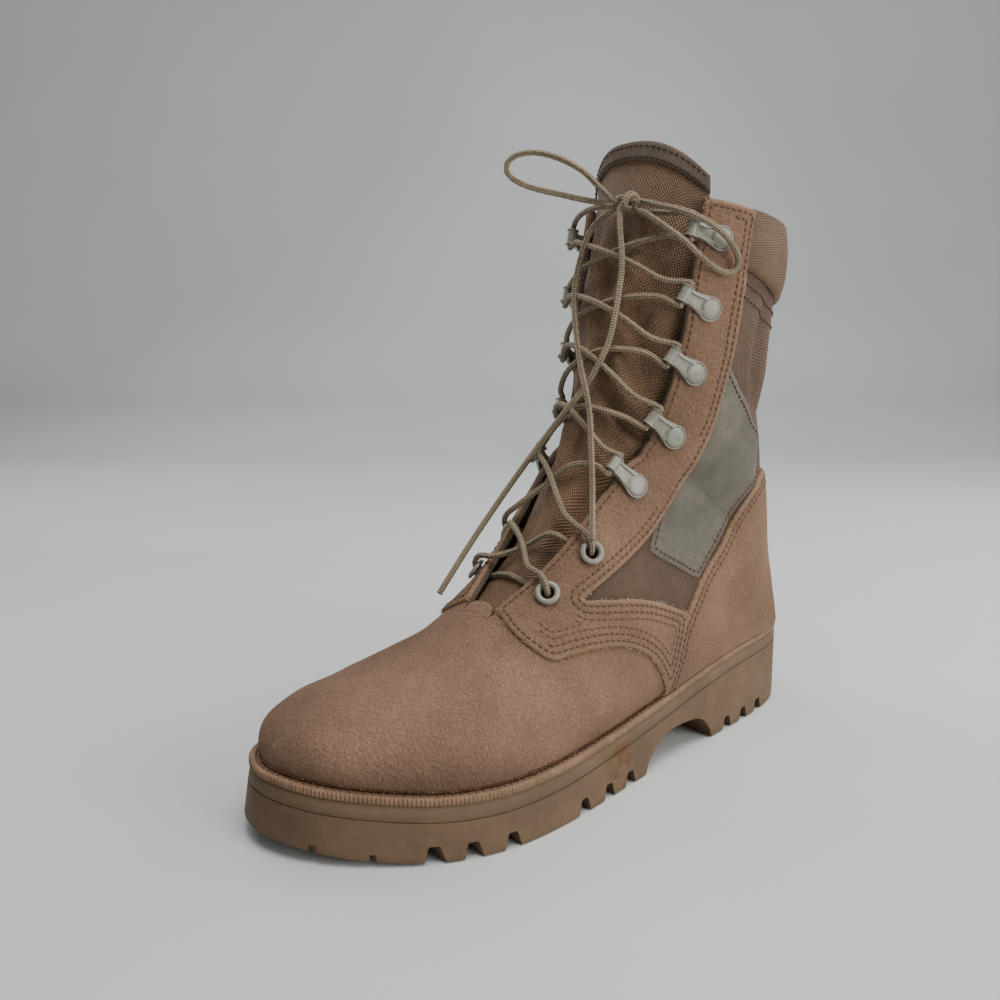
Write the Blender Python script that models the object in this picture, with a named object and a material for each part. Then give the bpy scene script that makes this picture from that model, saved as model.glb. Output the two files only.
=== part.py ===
"""A left desert combat boot, standing empty on its sole.

Lengths are in metres. x runs from heel to toe, y to the outer side of the foot and z up.
The origin is on the heel's ground face, in the middle of the heel.
"""

import math
from collections import namedtuple
from functools import lru_cache

import bmesh
import bpy
from mathutils import Matrix, Vector

# Sole
SOLE_LENGTH = 0.305
BALL_WIDTH = 0.115
HEEL_HEIGHT = 0.0395
TOE_SPRING = 0.007
SPRING_START = 0.787
SIDE_FLARE = 0.0034
MIDSOLE_THICKNESS = 0.0065
WELT_THICKNESS = 0.0033
WELT_BED = 0.0040
LEDGE_HEEL = 0.0015
LEDGE_TOE = 0.0046
SOLE_ROUNDING = 0.0010
INSOLE_THICKNESS = 0.0030
INSOLE_CLEARANCE = 0.0026
HEEL_SETBACK = 0.046
SOLE_STATIONS = 24

# Tread
NOTCH_DEPTH = 0.0068
NOTCH_MOUTH = 0.0080
NOTCH_ROOT = 0.0046
NOTCH_REACH = 0.015
SLIT_DEPTH = 0.0030
SLIT_WIDTH = 0.0022
ARCH_HEIGHT = 0.0155

# Upper
INSTEP_HEIGHT = 0.172
SHAFT_HEIGHT = 0.262
BACK_HEIGHT = 0.243
SHAFT_WIDTH = 0.090
WALL = 0.0024
TOE_STEEPNESS = 0.0002

# Pieces on the upper
SUEDE = 0.0016
TAPE_THICKNESS = 0.0009
COLLAR_PAD = 0.0040
TONGUE_THICKNESS = 0.0030
TONGUE_GAP = 0.0009
TONGUE_DIP = 0.0045
TONGUE_LAP = 0.20
TONGUE_NARROWING = 0.24
TONGUE_WIDEST = 0.80
BINDING_WIDTH = 0.0085
BINDING_THICKNESS = 0.0012
GAP = 0.0003

# Fastenings
EYELET_HOLE = 0.0030
EYELET_RING = 0.0013
HOOK_BUTTON_RADIUS = 0.0058
HOOK_BUTTON_THICKNESS = 0.0020
HOOK_NECK_WIDTH = 0.0050
HOOK_REACH = 0.0150
HOOK_TUBE_LENGTH = 0.0090
HOOK_TUBE_RADIUS = 0.0026
HOOK_BORE = 0.0020
HOOK_RISE = 0.0016
LACE_RADIUS = 0.0015
LACE_LIFT = 0.0024

OutlineRow = namedtuple("OutlineRow", "outer inner")
# Half widths as shares of the ball width, at even turns from the heel to the toe
OUTLINE = [
    OutlineRow(-0.028, 0.028),
    OutlineRow(0.104, 0.157),
    OutlineRow(0.207, 0.251),
    OutlineRow(0.271, 0.309),
    OutlineRow(0.311, 0.327),
    OutlineRow(0.344, 0.308),
    OutlineRow(0.379, 0.278),
    OutlineRow(0.422, 0.261),
    OutlineRow(0.473, 0.301),
    OutlineRow(0.516, 0.375),
    OutlineRow(0.517, 0.428),
    OutlineRow(0.446, 0.455),
    OutlineRow(0.327, 0.415),
    OutlineRow(0.195, 0.324),
    OutlineRow(0.050, 0.209),
    OutlineRow(-0.076, 0.076),
]

SideRow = namedtuple("SideRow", "thickness ledge flare")
# Rubber thickness as a share of the heel height, and how far the ledge and the flare have grown,
# at even steps of the length
SIDE = [
    SideRow(1.000, 0.00, 0.00),
    SideRow(0.990, 0.10, 0.00),
    SideRow(0.960, 0.25, 0.00),
    SideRow(0.860, 0.38, 0.12),
    SideRow(0.735, 0.52, 0.26),
    SideRow(0.640, 0.68, 0.40),
    SideRow(0.580, 0.76, 0.53),
    SideRow(0.552, 0.82, 0.64),
    SideRow(0.556, 0.88, 0.75),
    SideRow(0.572, 0.95, 0.88),
    SideRow(0.550, 1.00, 1.00),
]

FootRow = namedtuple("FootRow", "front rise foot width ridge widest top_round low_round throat")
# Sections that end on the sole: front and foot are shares of the upper's length, rise of the
# instep height, width and ridge of the ball width, widest of the section's depth, and throat is
# where the opening's edge lies on the quarter turn from the ridge to the widest place
FOOT = [
    FootRow(1.000, 0.186, 1.000, 0.0000, -0.078, 0.60, 2.10, 2.00, 0.13),
    FootRow(0.998, 0.206, 0.997, 0.0350, -0.078, 0.62, 2.15, 2.00, 0.13),
    FootRow(0.993, 0.235, 0.986, 0.1215, -0.078, 0.64, 2.15, 2.00, 0.13),
    FootRow(0.973, 0.270, 0.963, 0.2260, -0.070, 0.66, 2.15, 2.00, 0.13),
    FootRow(0.919, 0.302, 0.922, 0.3305, -0.052, 0.68, 2.10, 2.00, 0.13),
    FootRow(0.855, 0.328, 0.861, 0.4045, -0.035, 0.70, 2.10, 2.00, 0.11),
    FootRow(0.777, 0.363, 0.790, 0.4390, -0.017, 0.72, 2.00, 2.00, 0.10),
    FootRow(0.702, 0.416, 0.702, 0.4215, -0.009, 0.74, 2.00, 2.00, 0.11),
    FootRow(0.641, 0.488, 0.611, 0.3955, -0.009, 0.75, 2.00, 2.00, 0.16),
    FootRow(0.594, 0.578, 0.509, 0.3650, -0.009, 0.74, 2.00, 2.00, 0.26),
    FootRow(0.557, 0.674, 0.404, 0.3480, -0.009, 0.72, 2.00, 2.00, 0.33),
    FootRow(0.526, 0.767, 0.293, 0.3390, -0.017, 0.68, 2.00, 2.00, 0.38),
    FootRow(0.503, 0.860, 0.178, 0.3350, -0.017, 0.64, 2.00, 2.00, 0.43),
    FootRow(0.491, 0.910, 0.103, 0.3350, -0.017, 0.62, 1.98, 1.95, 0.45),
    FootRow(0.482, 0.948, 0.049, 0.3350, -0.017, 0.60, 1.95, 1.92, 0.48),
    FootRow(0.477, 0.977, 0.019, 0.3350, -0.017, 0.58, 1.95, 1.90, 0.49),
    FootRow(0.472, 1.000, 0.000, 0.3350, -0.017, 0.56, 2.00, 1.90, 0.51),
]

ShaftRow = namedtuple(
    "ShaftRow", "front rise back lift width ridge widest top_round low_round throat"
)
# Sections that end on the back line: front and back are shares of the upper's length, rise of
# the height from instep to shaft top, lift of the back's height, width of the shaft width and
# ridge of the ball width
SHAFT = [
    ShaftRow(0.462, 0.111, 0.022, 0.136, 0.4280, -0.017, 0.52, 2.00, 1.85, 0.56),
    ShaftRow(0.448, 0.233, 0.039, 0.276, 0.4335, -0.017, 0.49, 2.00, 1.80, 0.60),
    ShaftRow(0.435, 0.356, 0.056, 0.406, 0.4445, -0.026, 0.47, 2.00, 1.75, 0.63),
    ShaftRow(0.425, 0.478, 0.069, 0.530, 0.4555, -0.026, 0.46, 2.00, 1.75, 0.65),
    ShaftRow(0.415, 0.611, 0.073, 0.650, 0.4665, -0.026, 0.45, 2.00, 1.80, 0.65),
    ShaftRow(0.404, 0.744, 0.065, 0.770, 0.4835, -0.026, 0.45, 2.00, 1.85, 0.64),
    ShaftRow(0.394, 0.878, 0.056, 0.890, 0.4945, -0.026, 0.46, 2.00, 1.90, 0.63),
    ShaftRow(0.384, 1.000, 0.057, 1.000, 0.5000, -0.026, 0.47, 2.00, 1.90, 0.62),
    ShaftRow(0.374, 1.267, 0.057, 1.135, 0.5000, -0.026, 0.47, 2.00, 1.90, 0.62),
]
HEEL_ROW = len(FOOT) - 1
COLLAR_ROW = HEEL_ROW + len(SHAFT) - 1
TONGUE_ROW = COLLAR_ROW + 1
THROAT_ROW = 7.5
TONGUE_START = 6.6
TONGUE_SHOULDER = 24.45
TONGUE_COLUMNS = 4
TONGUE_NARROW_ROW = 20
BINDING_CLEARANCE = 0.05

# Rows at which a skin is cut into faces
TOE_ROWS = [0, 0.3, 0.6, 1, 1.5, 2, 2.5, 3, 4, 5, 6, 7, THROAT_ROW]
QUARTER_ROWS = [THROAT_ROW, 8, 9, 10, 11, 12, 13, 14, 14.6, 15.2, 15.6, 15.9, HEEL_ROW]
COLLAR_ROWS = [22.4, 22.7, 23.2, 23.7, COLLAR_ROW]
SHAFT_ROWS = [HEEL_ROW, 16.5, 17, 18, 19, 20, 21, 22] + COLLAR_ROWS
SIDE_COLUMNS = 9
COLLAR_COLUMN = 4
THROAT_COLUMNS = 2

ArchPoint = namedtuple("ArchPoint", "along up")
# Shares of the sole length and of the arch height
ARCH = [
    ArchPoint(0.272, -0.20),
    ArchPoint(0.279, 0.28),
    ArchPoint(0.300, 0.75),
    ArchPoint(0.332, 0.95),
    ArchPoint(0.388, 1.00),
    ArchPoint(0.420, 0.80),
    ArchPoint(0.447, 0.40),
    ArchPoint(0.462, -0.20),
]
NOTCHES = [0.127, 0.177, 0.228, 0.497, 0.549, 0.606, 0.740, 0.795, 0.842]
SLITS = [0.907, 0.962]

SidePoint = namedtuple("SidePoint", "along up")
# Outlines seen from the side, as shares of the upper's length and of the shaft height
EYESTAY = [
    SidePoint(0.264, 1.10),
    SidePoint(0.258, 0.928),
    SidePoint(0.260, 0.813),
    SidePoint(0.284, 0.681),
    SidePoint(0.318, 0.588),
    SidePoint(0.422, 0.390),
    SidePoint(0.490, 0.345),
    SidePoint(0.548, 0.322),
    SidePoint(0.460, 0.292),
    SidePoint(0.378, 0.258),
    SidePoint(0.384, 0.236),
    SidePoint(0.424, 0.146),
    SidePoint(0.440, 0.188),
    SidePoint(0.478, 0.222),
    SidePoint(0.516, 0.238),
    SidePoint(0.556, 0.247),
    SidePoint(0.604, 0.252),
    SidePoint(0.640, 0.244),
    SidePoint(0.668, 0.300),
    SidePoint(0.690, 0.400),
    SidePoint(0.560, 1.10),
]
COUNTER = [
    SidePoint(-0.10, 0.04),
    SidePoint(-0.10, 0.480),
    SidePoint(0.060, 0.486),
    SidePoint(0.152, 0.483),
    SidePoint(0.220, 0.430),
    SidePoint(0.254, 0.370),
    SidePoint(0.310, 0.316),
    SidePoint(0.344, 0.270),
    SidePoint(0.370, 0.236),
    SidePoint(0.414, 0.120),
    SidePoint(0.414, 0.04),
]
TAPE = [
    SidePoint(0.180, 0.742),
    SidePoint(0.244, 0.640),
    SidePoint(0.310, 0.580),
    SidePoint(0.414, 0.386),
    SidePoint(0.314, 0.318),
    SidePoint(0.260, 0.374),
    SidePoint(0.226, 0.436),
    SidePoint(0.158, 0.490),
    SidePoint(0.100, 0.600),
]

Fastening = namedtuple("Fastening", "place inset")
# Rows that carry an eyelet or a hook, and how far each sits behind the opening's edge
EYELETS = [Fastening(8.75, 0.0105), Fastening(10.15, 0.0105)]
HOOKS = [
    Fastening(12.35, 0.0080),
    Fastening(16.75, 0.0088),
    Fastening(18.90, 0.0095),
    Fastening(20.90, 0.0100),
    Fastening(22.85, 0.0090),
]
# Where the laces run past the top hooks: the last stretch to the knot, the bow's two loops and its
# two ends, chosen by hand on what they lie on
RUN_OUTER = [
    (0.0582, 0.0348, 0.2522),
    (0.0602, 0.0282, 0.2516),
    (0.0616, 0.0210, 0.2522),
    (0.0626, 0.0166, 0.2526),
    (0.0632, 0.0134, 0.2525),
]
RUN_INNER = [
    (0.0584, -0.0398, 0.2530),
    (0.0614, -0.0325, 0.2552),
    (0.0638, -0.0235, 0.2568),
    (0.0654, -0.0150, 0.2574),
    (0.0662, -0.0100, 0.2572),
    (0.0666, -0.0066, 0.2569),
]
LOOP_OUTER = [
    (0.0658, 0.0172, 0.2564),
    (0.0647, 0.0251, 0.2544),
    (0.0634, 0.0337, 0.2523),
    (0.0596, 0.0411, 0.2489),
    (0.0520, 0.0460, 0.2436),
    (0.0436, 0.0476, 0.2366),
    (0.0386, 0.0466, 0.2300),
    (0.0406, 0.0452, 0.2258),
    (0.0471, 0.0433, 0.2262),
    (0.0560, 0.0410, 0.2313),
    (0.0640, 0.0367, 0.2391),
    (0.0673, 0.0282, 0.2455),
    (0.0681, 0.0183, 0.2512),
    (0.0674, 0.0136, 0.2530),
]
LOOP_INNER = [
    (0.0698, -0.0048, 0.2607),
    (0.0734, -0.0094, 0.2664),
    (0.0776, -0.0146, 0.2726),
    (0.0839, -0.0231, 0.2784),
    (0.0912, -0.0325, 0.2816),
    (0.0971, -0.0400, 0.2804),
    (0.0998, -0.0432, 0.2762),
    (0.0986, -0.0422, 0.2716),
    (0.0942, -0.0378, 0.2676),
    (0.0884, -0.0316, 0.2648),
    (0.0820, -0.0246, 0.2626),
    (0.0762, -0.0180, 0.2604),
    (0.0714, -0.0118, 0.2588),
    (0.0700, -0.0066, 0.2574),
]
END_OUTER = [
    (0.0703, 0.0030, 0.2524),
    (0.0732, 0.0062, 0.2455),
    (0.0754, 0.0096, 0.2370),
    (0.0766, 0.0112, 0.2280),
    (0.0784, 0.0116, 0.2185),
    (0.0816, 0.0124, 0.2070),
    (0.0846, 0.0116, 0.1950),
    (0.0882, 0.0084, 0.1841),
    (0.0919, 0.0034, 0.1740),
    (0.0972, -0.0028, 0.1636),
    (0.1019, -0.0137, 0.1489),
    (0.1090, -0.0235, 0.1325),
    (0.1215, -0.0298, 0.1132),
    (0.1372, -0.0290, 0.0972),
    (0.1525, -0.0288, 0.0798),
]
END_INNER = [
    (0.0692, -0.0046, 0.2536),
    (0.0708, -0.0130, 0.2486),
    (0.0728, -0.0170, 0.2402),
    (0.0754, -0.0198, 0.2270),
    (0.0793, -0.0176, 0.2135),
    (0.0849, -0.0098, 0.1982),
    (0.0907, -0.0003, 0.1836),
    (0.0963, 0.0092, 0.1734),
    (0.0966, 0.0123, 0.1628),
    (0.0989, 0.0158, 0.1509),
    (0.1045, 0.0229, 0.1323),
    (0.1153, 0.0345, 0.1110),
]
KNOT_CENTRE = (0.0664, 0.0055, 0.2576)
KNOT_AXIS = (-0.22, 0.97, 0.02)
KNOT_LENGTH = 0.0170
KNOT_RADIUS = 0.0044
# Half the knot's length as shares, with the share of its radius there
KNOT_SHAPE = [
    (-1.0, 0.50),
    (-0.82, 0.77),
    (-0.47, 0.95),
    (0.0, 1.0),
    (0.47, 0.95),
    (0.82, 0.77),
    (1.0, 0.50),
]

SIDES = {"outer": 1, "inner": -1}

LEATHER = (0.36, 0.23, 0.13)
NYLON = (0.21, 0.14, 0.085)
RUBBER = (0.29, 0.20, 0.125)
STRIP = (0.40, 0.28, 0.19)
WEBBING = (0.22, 0.20, 0.15)
ENAMEL = (0.33, 0.35, 0.29)
CORD = (0.37, 0.29, 0.20)
FOAM = (0.10, 0.09, 0.08)


def table_at(rows, place):
    """A smooth curve through a table's rows, read at a row number that may be a fraction."""
    last = len(rows) - 1
    place = min(max(place, 0.0), float(last))
    i = min(int(place), last - 1)
    u = place - i
    b, c = rows[i], rows[i + 1]
    a = rows[i - 1] if i else [2 * p - q for p, q in zip(b, c)]
    d = rows[i + 2] if i + 2 <= last else [2 * q - p for p, q in zip(b, c)]
    found = []
    for p, q, r, s in zip(a, b, c, d):
        bend = (2 * p - 5 * q + 4 * r - s) * u * u + (3 * q - p - 3 * r + s) * u**3
        found.append(0.5 * (2 * q + (r - p) * u + bend))
    return found


def side_row(x):
    return SideRow(*table_at(SIDE, x / SOLE_LENGTH * (len(SIDE) - 1)))


def spring(x):
    past = max(0.0, x / SOLE_LENGTH - SPRING_START) / (1 - SPRING_START)
    return TOE_SPRING * past**2


def rubber_top(x):
    return spring(x) + HEEL_HEIGHT * side_row(x).thickness


def sole_top(x):
    return rubber_top(x) + WELT_THICKNESS


def flare(x):
    return SIDE_FLARE * side_row(x).flare


def ledge(x):
    return LEDGE_HEEL + (LEDGE_TOE - LEDGE_HEEL) * side_row(x).ledge


def outline_point(turn):
    """The ground outline, once round from the heel along the outer side, for turn 0 to 2."""
    across = turn if turn <= 1 else 2 - turn
    row = OutlineRow(*table_at(OUTLINE, across * (len(OUTLINE) - 1)))
    x = SOLE_LENGTH * (1 - math.cos(math.pi * across)) / 2
    y = row.outer if turn <= 1 else -row.inner
    return Vector((x, y * BALL_WIDTH))


def inset_point(turn, inset):
    """The ground outline moved inwards by inset(x)."""
    step = 0.004
    here = outline_point(turn)
    ahead = outline_point((turn + step) % 2)
    behind = outline_point((turn - step) % 2)
    along = (ahead - behind).normalized()
    return here + Vector((along.y, -along.x)) * inset(here.x)


def feather_inset(x):
    return flare(x) + ledge(x)


@lru_cache(maxsize=None)
def feather_sides():
    """The line where the upper meets the sole, as outer and inner points in order of x."""
    count = 240
    loop = [inset_point(2 * i / count, feather_inset) for i in range(count)]
    heel = min(range(count), key=lambda i: loop[i].x)
    toe = max(range(count), key=lambda i: loop[i].x)
    outer = [loop[(heel + i) % count] for i in range((toe - heel) % count + 1)]
    inner = [loop[(heel - i) % count] for i in range((heel - toe) % count + 1)]
    return outer, inner


def y_at(points, x):
    """y on a line of points in order of x."""
    x = min(max(x, points[0].x), points[-1].x)
    for a, b in zip(points, points[1:]):
        if x <= b.x:
            share = (x - a.x) / max(b.x - a.x, 1e-9)
            return a.y + share * (b.y - a.y)
    return points[-1].y


def upper_start():
    return feather_sides()[0][0].x


def upper_length():
    return feather_sides()[0][-1].x - upper_start()


def along_upper(share):
    return upper_start() + share * upper_length()


Section = namedtuple("Section", "front back width end widest depth top low")


@lru_cache(maxsize=None)
def section(place):
    """One slanting section: its front and back ends, and the shape of its half width."""
    rows = [[r.front, r.rise, r.width * BALL_WIDTH, *r[4:]] for r in FOOT]
    for r in SHAFT:
        rise = 1 + r.rise * (SHAFT_HEIGHT / INSTEP_HEIGHT - 1)
        rows.append([r.front, rise, r.width * SHAFT_WIDTH, *r[5:]])
    front, rise, width, ridge, widest, top, low, _ = table_at(rows, place)
    start = Vector((along_upper(front), ridge * BALL_WIDTH, rise * INSTEP_HEIGHT))
    outer, inner = feather_sides()
    if place < HEEL_ROW:
        foot = table_at([[r.foot] for r in FOOT], place)[0]
        x = along_upper(min(max(foot, 0.0), 1.0))
        sides = y_at(outer, x), y_at(inner, x)
        end = Vector((x, sum(sides) / 2, sole_top(x) + GAP))
        half = (sides[0] - sides[1]) / 2
    else:
        heel = upper_start()
        base = sole_top(heel) + GAP
        backs = [[0.0, 0.0]] + [[r.back, r.lift] for r in SHAFT]
        back, lift = table_at(backs, place - HEEL_ROW)
        settle = max(0.0, 1 - (place - HEEL_ROW) / 2)
        y = outer[0].y * settle
        end = Vector((along_upper(back), y, base + lift * (BACK_HEIGHT - base)))
        half = 0.0
    width = max(width, half * 1.02 + TOE_STEEPNESS)
    depth = 1.0
    if half > 0:
        depth = widest + (1 - widest) / max((1 - (half / width) ** low) ** (1 / low), 1e-3)
    if place == 0:
        start = end
        width = 0.0
    return Section(start, end, width, half, widest, depth, top, low)


def throat(place):
    """Where the opening's edge lies, from 0 at the ridge to 1 at the widest place."""
    rows = [[r.throat] for r in FOOT] + [[r.throat] for r in SHAFT]
    return table_at(rows, place)[0]


def skin_point(place, turn):
    """The upper's outer face: turn is 0 at the ridge, 1 where widest and 2 at the sole or the
    back, and below 0 on the inner side."""
    s = section(place)
    side = 1 if turn >= 0 else -1
    turn = min(abs(turn), 2.0)
    if turn <= 1:
        angle = turn * math.pi / 2
        depth = s.widest * (1 - max(math.cos(angle), 0.0) ** (2 / s.top))
        half = s.width * math.sin(angle) ** (2 / s.top)
    else:
        reach = ((1 - s.widest) / (s.depth - s.widest)) ** (s.low / 2)
        angle = (turn - 1) * math.asin(min(reach, 1.0))
        depth = s.widest + (s.depth - s.widest) * math.sin(angle) ** (2 / s.low)
        half = s.width * max(math.cos(angle), 0.0) ** (2 / s.low)
        if turn == 2.0:
            depth, half = 1.0, s.end
    point = s.front.lerp(s.back, depth)
    point.y += side * half
    return point


@lru_cache(maxsize=None)
def skin_normal(place, turn):
    """The direction out of the upper's face."""
    if place == 0:
        return Vector((1, 0, 0))
    on_plane = turn == 0 or (abs(turn) == 2.0 and place >= HEEL_ROW)
    step = 0.02
    side = 1 if turn >= 0 else -1
    low_place, high_place = max(place - step, 0.01), min(place + step, TONGUE_ROW)
    low_turn, high_turn = max(abs(turn) - step, 0.0), min(abs(turn) + step, 2.0)
    if on_plane and turn == 0:
        across = Vector((0, 1, 0))
    elif on_plane:
        across = Vector((0, -side, 0))
    else:
        across = skin_point(place, side * high_turn) - skin_point(place, side * low_turn)
    near = side * min(max(abs(turn), 0.0), 2.0)
    along = skin_point(high_place, near) - skin_point(low_place, near)
    normal = across.cross(along) * side
    if on_plane:
        normal.y = 0
    return normal.normalized()


def skin(place, turn, offset=0.0):
    """A point off the upper's face, kept above the sole."""
    point = skin_point(place, turn) + skin_normal(place, turn) * offset
    point.z = max(point.z, sole_top(point.x) + 2 * GAP)
    return point


def key_of(place, turn):
    """One name for each place on the skin, also where both sides meet."""
    if place == 0:
        return (0, 0)
    if abs(turn) >= 2 and place >= HEEL_ROW:
        return (place, 2.0)
    return (place, turn)


def material(name, colour, roughness, metallic=0.0):
    made = bpy.data.materials.new(name)
    made.use_nodes = True
    shader = made.node_tree.nodes["Principled BSDF"]
    shader.inputs["Base Color"].default_value = (*colour, 1.0)
    shader.inputs["Roughness"].default_value = roughness
    shader.inputs["Metallic"].default_value = metallic
    return made


def new_object(name, mesh, collection, surface=None):
    made = bpy.data.objects.new(name, mesh)
    collection.objects.link(made)
    if surface is not None and not mesh.materials:
        mesh.materials.append(surface)
    return made


def mesh_from(name, bm):
    bmesh.ops.recalc_face_normals(bm, faces=bm.faces)
    mesh = bpy.data.meshes.new(name)
    bm.to_mesh(mesh)
    bm.free()
    return mesh


def to_row(point):
    """From the heel's back edge to the origin in the middle of the heel."""
    return Vector((point[0] - HEEL_SETBACK, point[1], point[2]))


def shell(name, faces, place_of, collection, surface):
    """A closed wall from faces of skin keys: place_of(key, layer) puts layer 0 and layer 1."""
    bm = bmesh.new()
    layers = [{}, {}]
    used = set()

    def vertex(key, layer):
        if key not in layers[layer]:
            layers[layer][key] = bm.verts.new(to_row(place_of(key, layer)))
        return layers[layer][key]

    for face in faces:
        keys = []
        for place, turn in face:
            key = key_of(place, turn)
            if key not in keys:
                keys.append(key)
        halves = [keys[:3], keys[2:] + keys[:1]] if len(keys) == 4 else [keys]
        for corners in halves:
            if len(corners) < 3:
                continue
            bm.faces.new([vertex(k, 0) for k in corners])
            bm.faces.new([vertex(k, 1) for k in reversed(corners)])
            used.update(zip(corners, corners[1:] + corners[:1]))
    for a, b in sorted(used):
        if (b, a) not in used:
            bm.faces.new([vertex(b, 0), vertex(a, 0), vertex(a, 1), vertex(b, 1)])
    return new_object(name, mesh_from(name, bm), collection, surface)


def grid(rows, turns):
    """Faces between rows; turns(place) lists where the columns lie on that row."""
    faces = []
    for low, high in zip(rows, rows[1:]):
        first, second = turns(low), turns(high)
        for i in range(len(first) - 1):
            face = [(low, first[i]), (low, first[i + 1]), (high, second[i + 1]), (high, second[i])]
            faces.append(face)
    return faces


def spread(start, end, count):
    return [start + (end - start) * i / count for i in range(count + 1)]


def side_turns(side):
    return lambda place: [side * t for t in spread(throat(place), 2.0, SIDE_COLUMNS)]


def bridge_turns(place):
    edge = throat(place)
    return spread(-edge, edge, 2 * THROAT_COLUMNS)


def skin_layers(outer, inner):
    return lambda key, layer: skin(*key, outer if layer == 0 else inner)


def make_upper(collection, surface):
    rows = TOE_ROWS + QUARTER_ROWS[1:] + SHAFT_ROWS[1:]
    faces = grid(TOE_ROWS, bridge_turns)
    for side in SIDES.values():
        faces += [f if side > 0 else f[::-1] for f in grid(rows, side_turns(side))]
    return shell("upper", faces, skin_layers(0.0, -WALL), collection, surface)


def prism(name, outline, low, high, collection, axis="y"):
    """A flat outline drawn from the side, or from above with axis z, pushed through as a cutter."""
    bm = bmesh.new()
    rings = []
    for depth in (low, high):
        if axis == "y":
            points = [to_row((x, depth, z)) for x, z in outline]
        else:
            points = [to_row((x, y, depth)) for x, y in outline]
        rings.append([bm.verts.new(p) for p in points])
    count = len(outline)
    bm.faces.new(rings[0])
    bm.faces.new(rings[1])
    for i in range(count):
        j = (i + 1) % count
        bm.faces.new([rings[0][i], rings[0][j], rings[1][j], rings[1][i]])
    made = new_object(name, mesh_from(name, bm), collection)
    made.hide_render = True
    made.display_type = "WIRE"
    return made


def boolean(target, cutter, operation):
    modifier = target.modifiers.new(f"{operation.lower()} {cutter.name}", "BOOLEAN")
    modifier.operation = operation
    modifier.object = cutter
    modifier.solver = "EXACT"


def side_outline(points):
    return [(along_upper(p.along), p.up * SHAFT_HEIGHT) for p in points]


def make_overlay(name, rows, points, side, thickness, collection, cutters, surface):
    """A layer on the upper, cut to an outline seen from the side."""
    turned = grid(rows, side_turns(side))
    faces = turned if side > 0 else [f[::-1] for f in turned]
    layers = skin_layers(GAP + thickness, GAP)
    made = shell(name, faces, layers, collection, surface)
    reach = sorted((side * 0.0001, side * BALL_WIDTH))
    cutter = prism(f"{name}_outline", side_outline(points), *reach, cutters)
    boolean(made, cutter, "INTERSECT")
    return made


def make_counter(collection, cutters, surface):
    rows = QUARTER_ROWS[2:] + SHAFT_ROWS[1:6]
    faces = []
    for side in SIDES.values():
        faces += [f if side > 0 else f[::-1] for f in grid(rows, side_turns(side))]
    layers = skin_layers(2 * GAP + SUEDE, 2 * GAP)
    made = shell("heel_counter", faces, layers, collection, surface)
    outline = side_outline(COUNTER)
    cutter = prism("heel_counter_outline", outline, -BALL_WIDTH, BALL_WIDTH, cutters)
    boolean(made, cutter, "INTERSECT")
    return made


def make_collar(collection, surface):
    """A pad round the back of the top, between the two eyestays."""
    faces = []
    for side in SIDES.values():
        turned = grid(COLLAR_ROWS, lambda place: side_turns(side)(place)[COLLAR_COLUMN:])
        faces += [f if side > 0 else f[::-1] for f in turned]
    start = COLLAR_ROWS[0]

    def place_of(key, layer):
        if layer:
            return skin(*key, GAP)
        up = (key[0] - start) / (COLLAR_ROW - start)
        round_up = math.sin(math.pi * (0.12 + 0.76 * up)) ** 0.6
        edge = side_turns(1)(key[0])[COLLAR_COLUMN]
        across = min(1.0, (abs(key[1]) - edge) / 0.2)
        pad = TAPE_THICKNESS + (COLLAR_PAD - TAPE_THICKNESS) * round_up * max(across, 0.0) ** 0.5
        return skin(*key, GAP + pad)

    return shell("collar", faces, place_of, collection, surface)


def tongue_edge(place):
    above = max(0.0, (place - TONGUE_NARROW_ROW) / (TONGUE_ROW - TONGUE_NARROW_ROW))
    return min(throat(place) + TONGUE_LAP - TONGUE_NARROWING * above, TONGUE_WIDEST)


def tongue_key(up, across):
    """A place on the tongue, up from 0 to 1 and across from -1 to 1."""
    top = TONGUE_SHOULDER + (TONGUE_ROW - TONGUE_SHOULDER) * (1 - abs(across) ** 2.6)
    place = TONGUE_START + (top - TONGUE_START) * up
    return place, tongue_edge(place) * across


def tongue_depth(place, turn):
    """The tongue lies just under the wall and is pressed in a little between the eyestays."""
    open_share = max(0.0, 1 - (turn / tongue_edge(place)) ** 2)
    opened = min(1.0, max(0.0, (place - TONGUE_START) / 3.0))
    return WALL + TONGUE_GAP + TONGUE_DIP * open_share * opened


def binding_start():
    """How far up the tongue its binding starts."""
    foot = skin_point(*tongue_key(0, 0))
    tip = skin_point(*tongue_key(1, 0))
    return 1 - BINDING_WIDTH / (tip - foot).length


def make_tongue(collection, surface):
    ups = [0, 0.06, 0.12, 0.20, 0.29, 0.39, 0.50, 0.61, 0.72, 0.82, 0.91]
    ups += [binding_start(), 1]
    columns = spread(-1.0, 1.0, 2 * TONGUE_COLUMNS)
    faces = []
    for low, high in zip(ups, ups[1:]):
        for a, b in zip(columns, columns[1:]):
            faces.append([tongue_key(u, c) for u, c in ((low, a), (low, b), (high, b), (high, a))])

    def place_of(key, layer):
        return skin(*key, -tongue_depth(*key) - (TONGUE_THICKNESS if layer else 0.0))

    return shell("tongue", faces, place_of, collection, surface)


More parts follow.
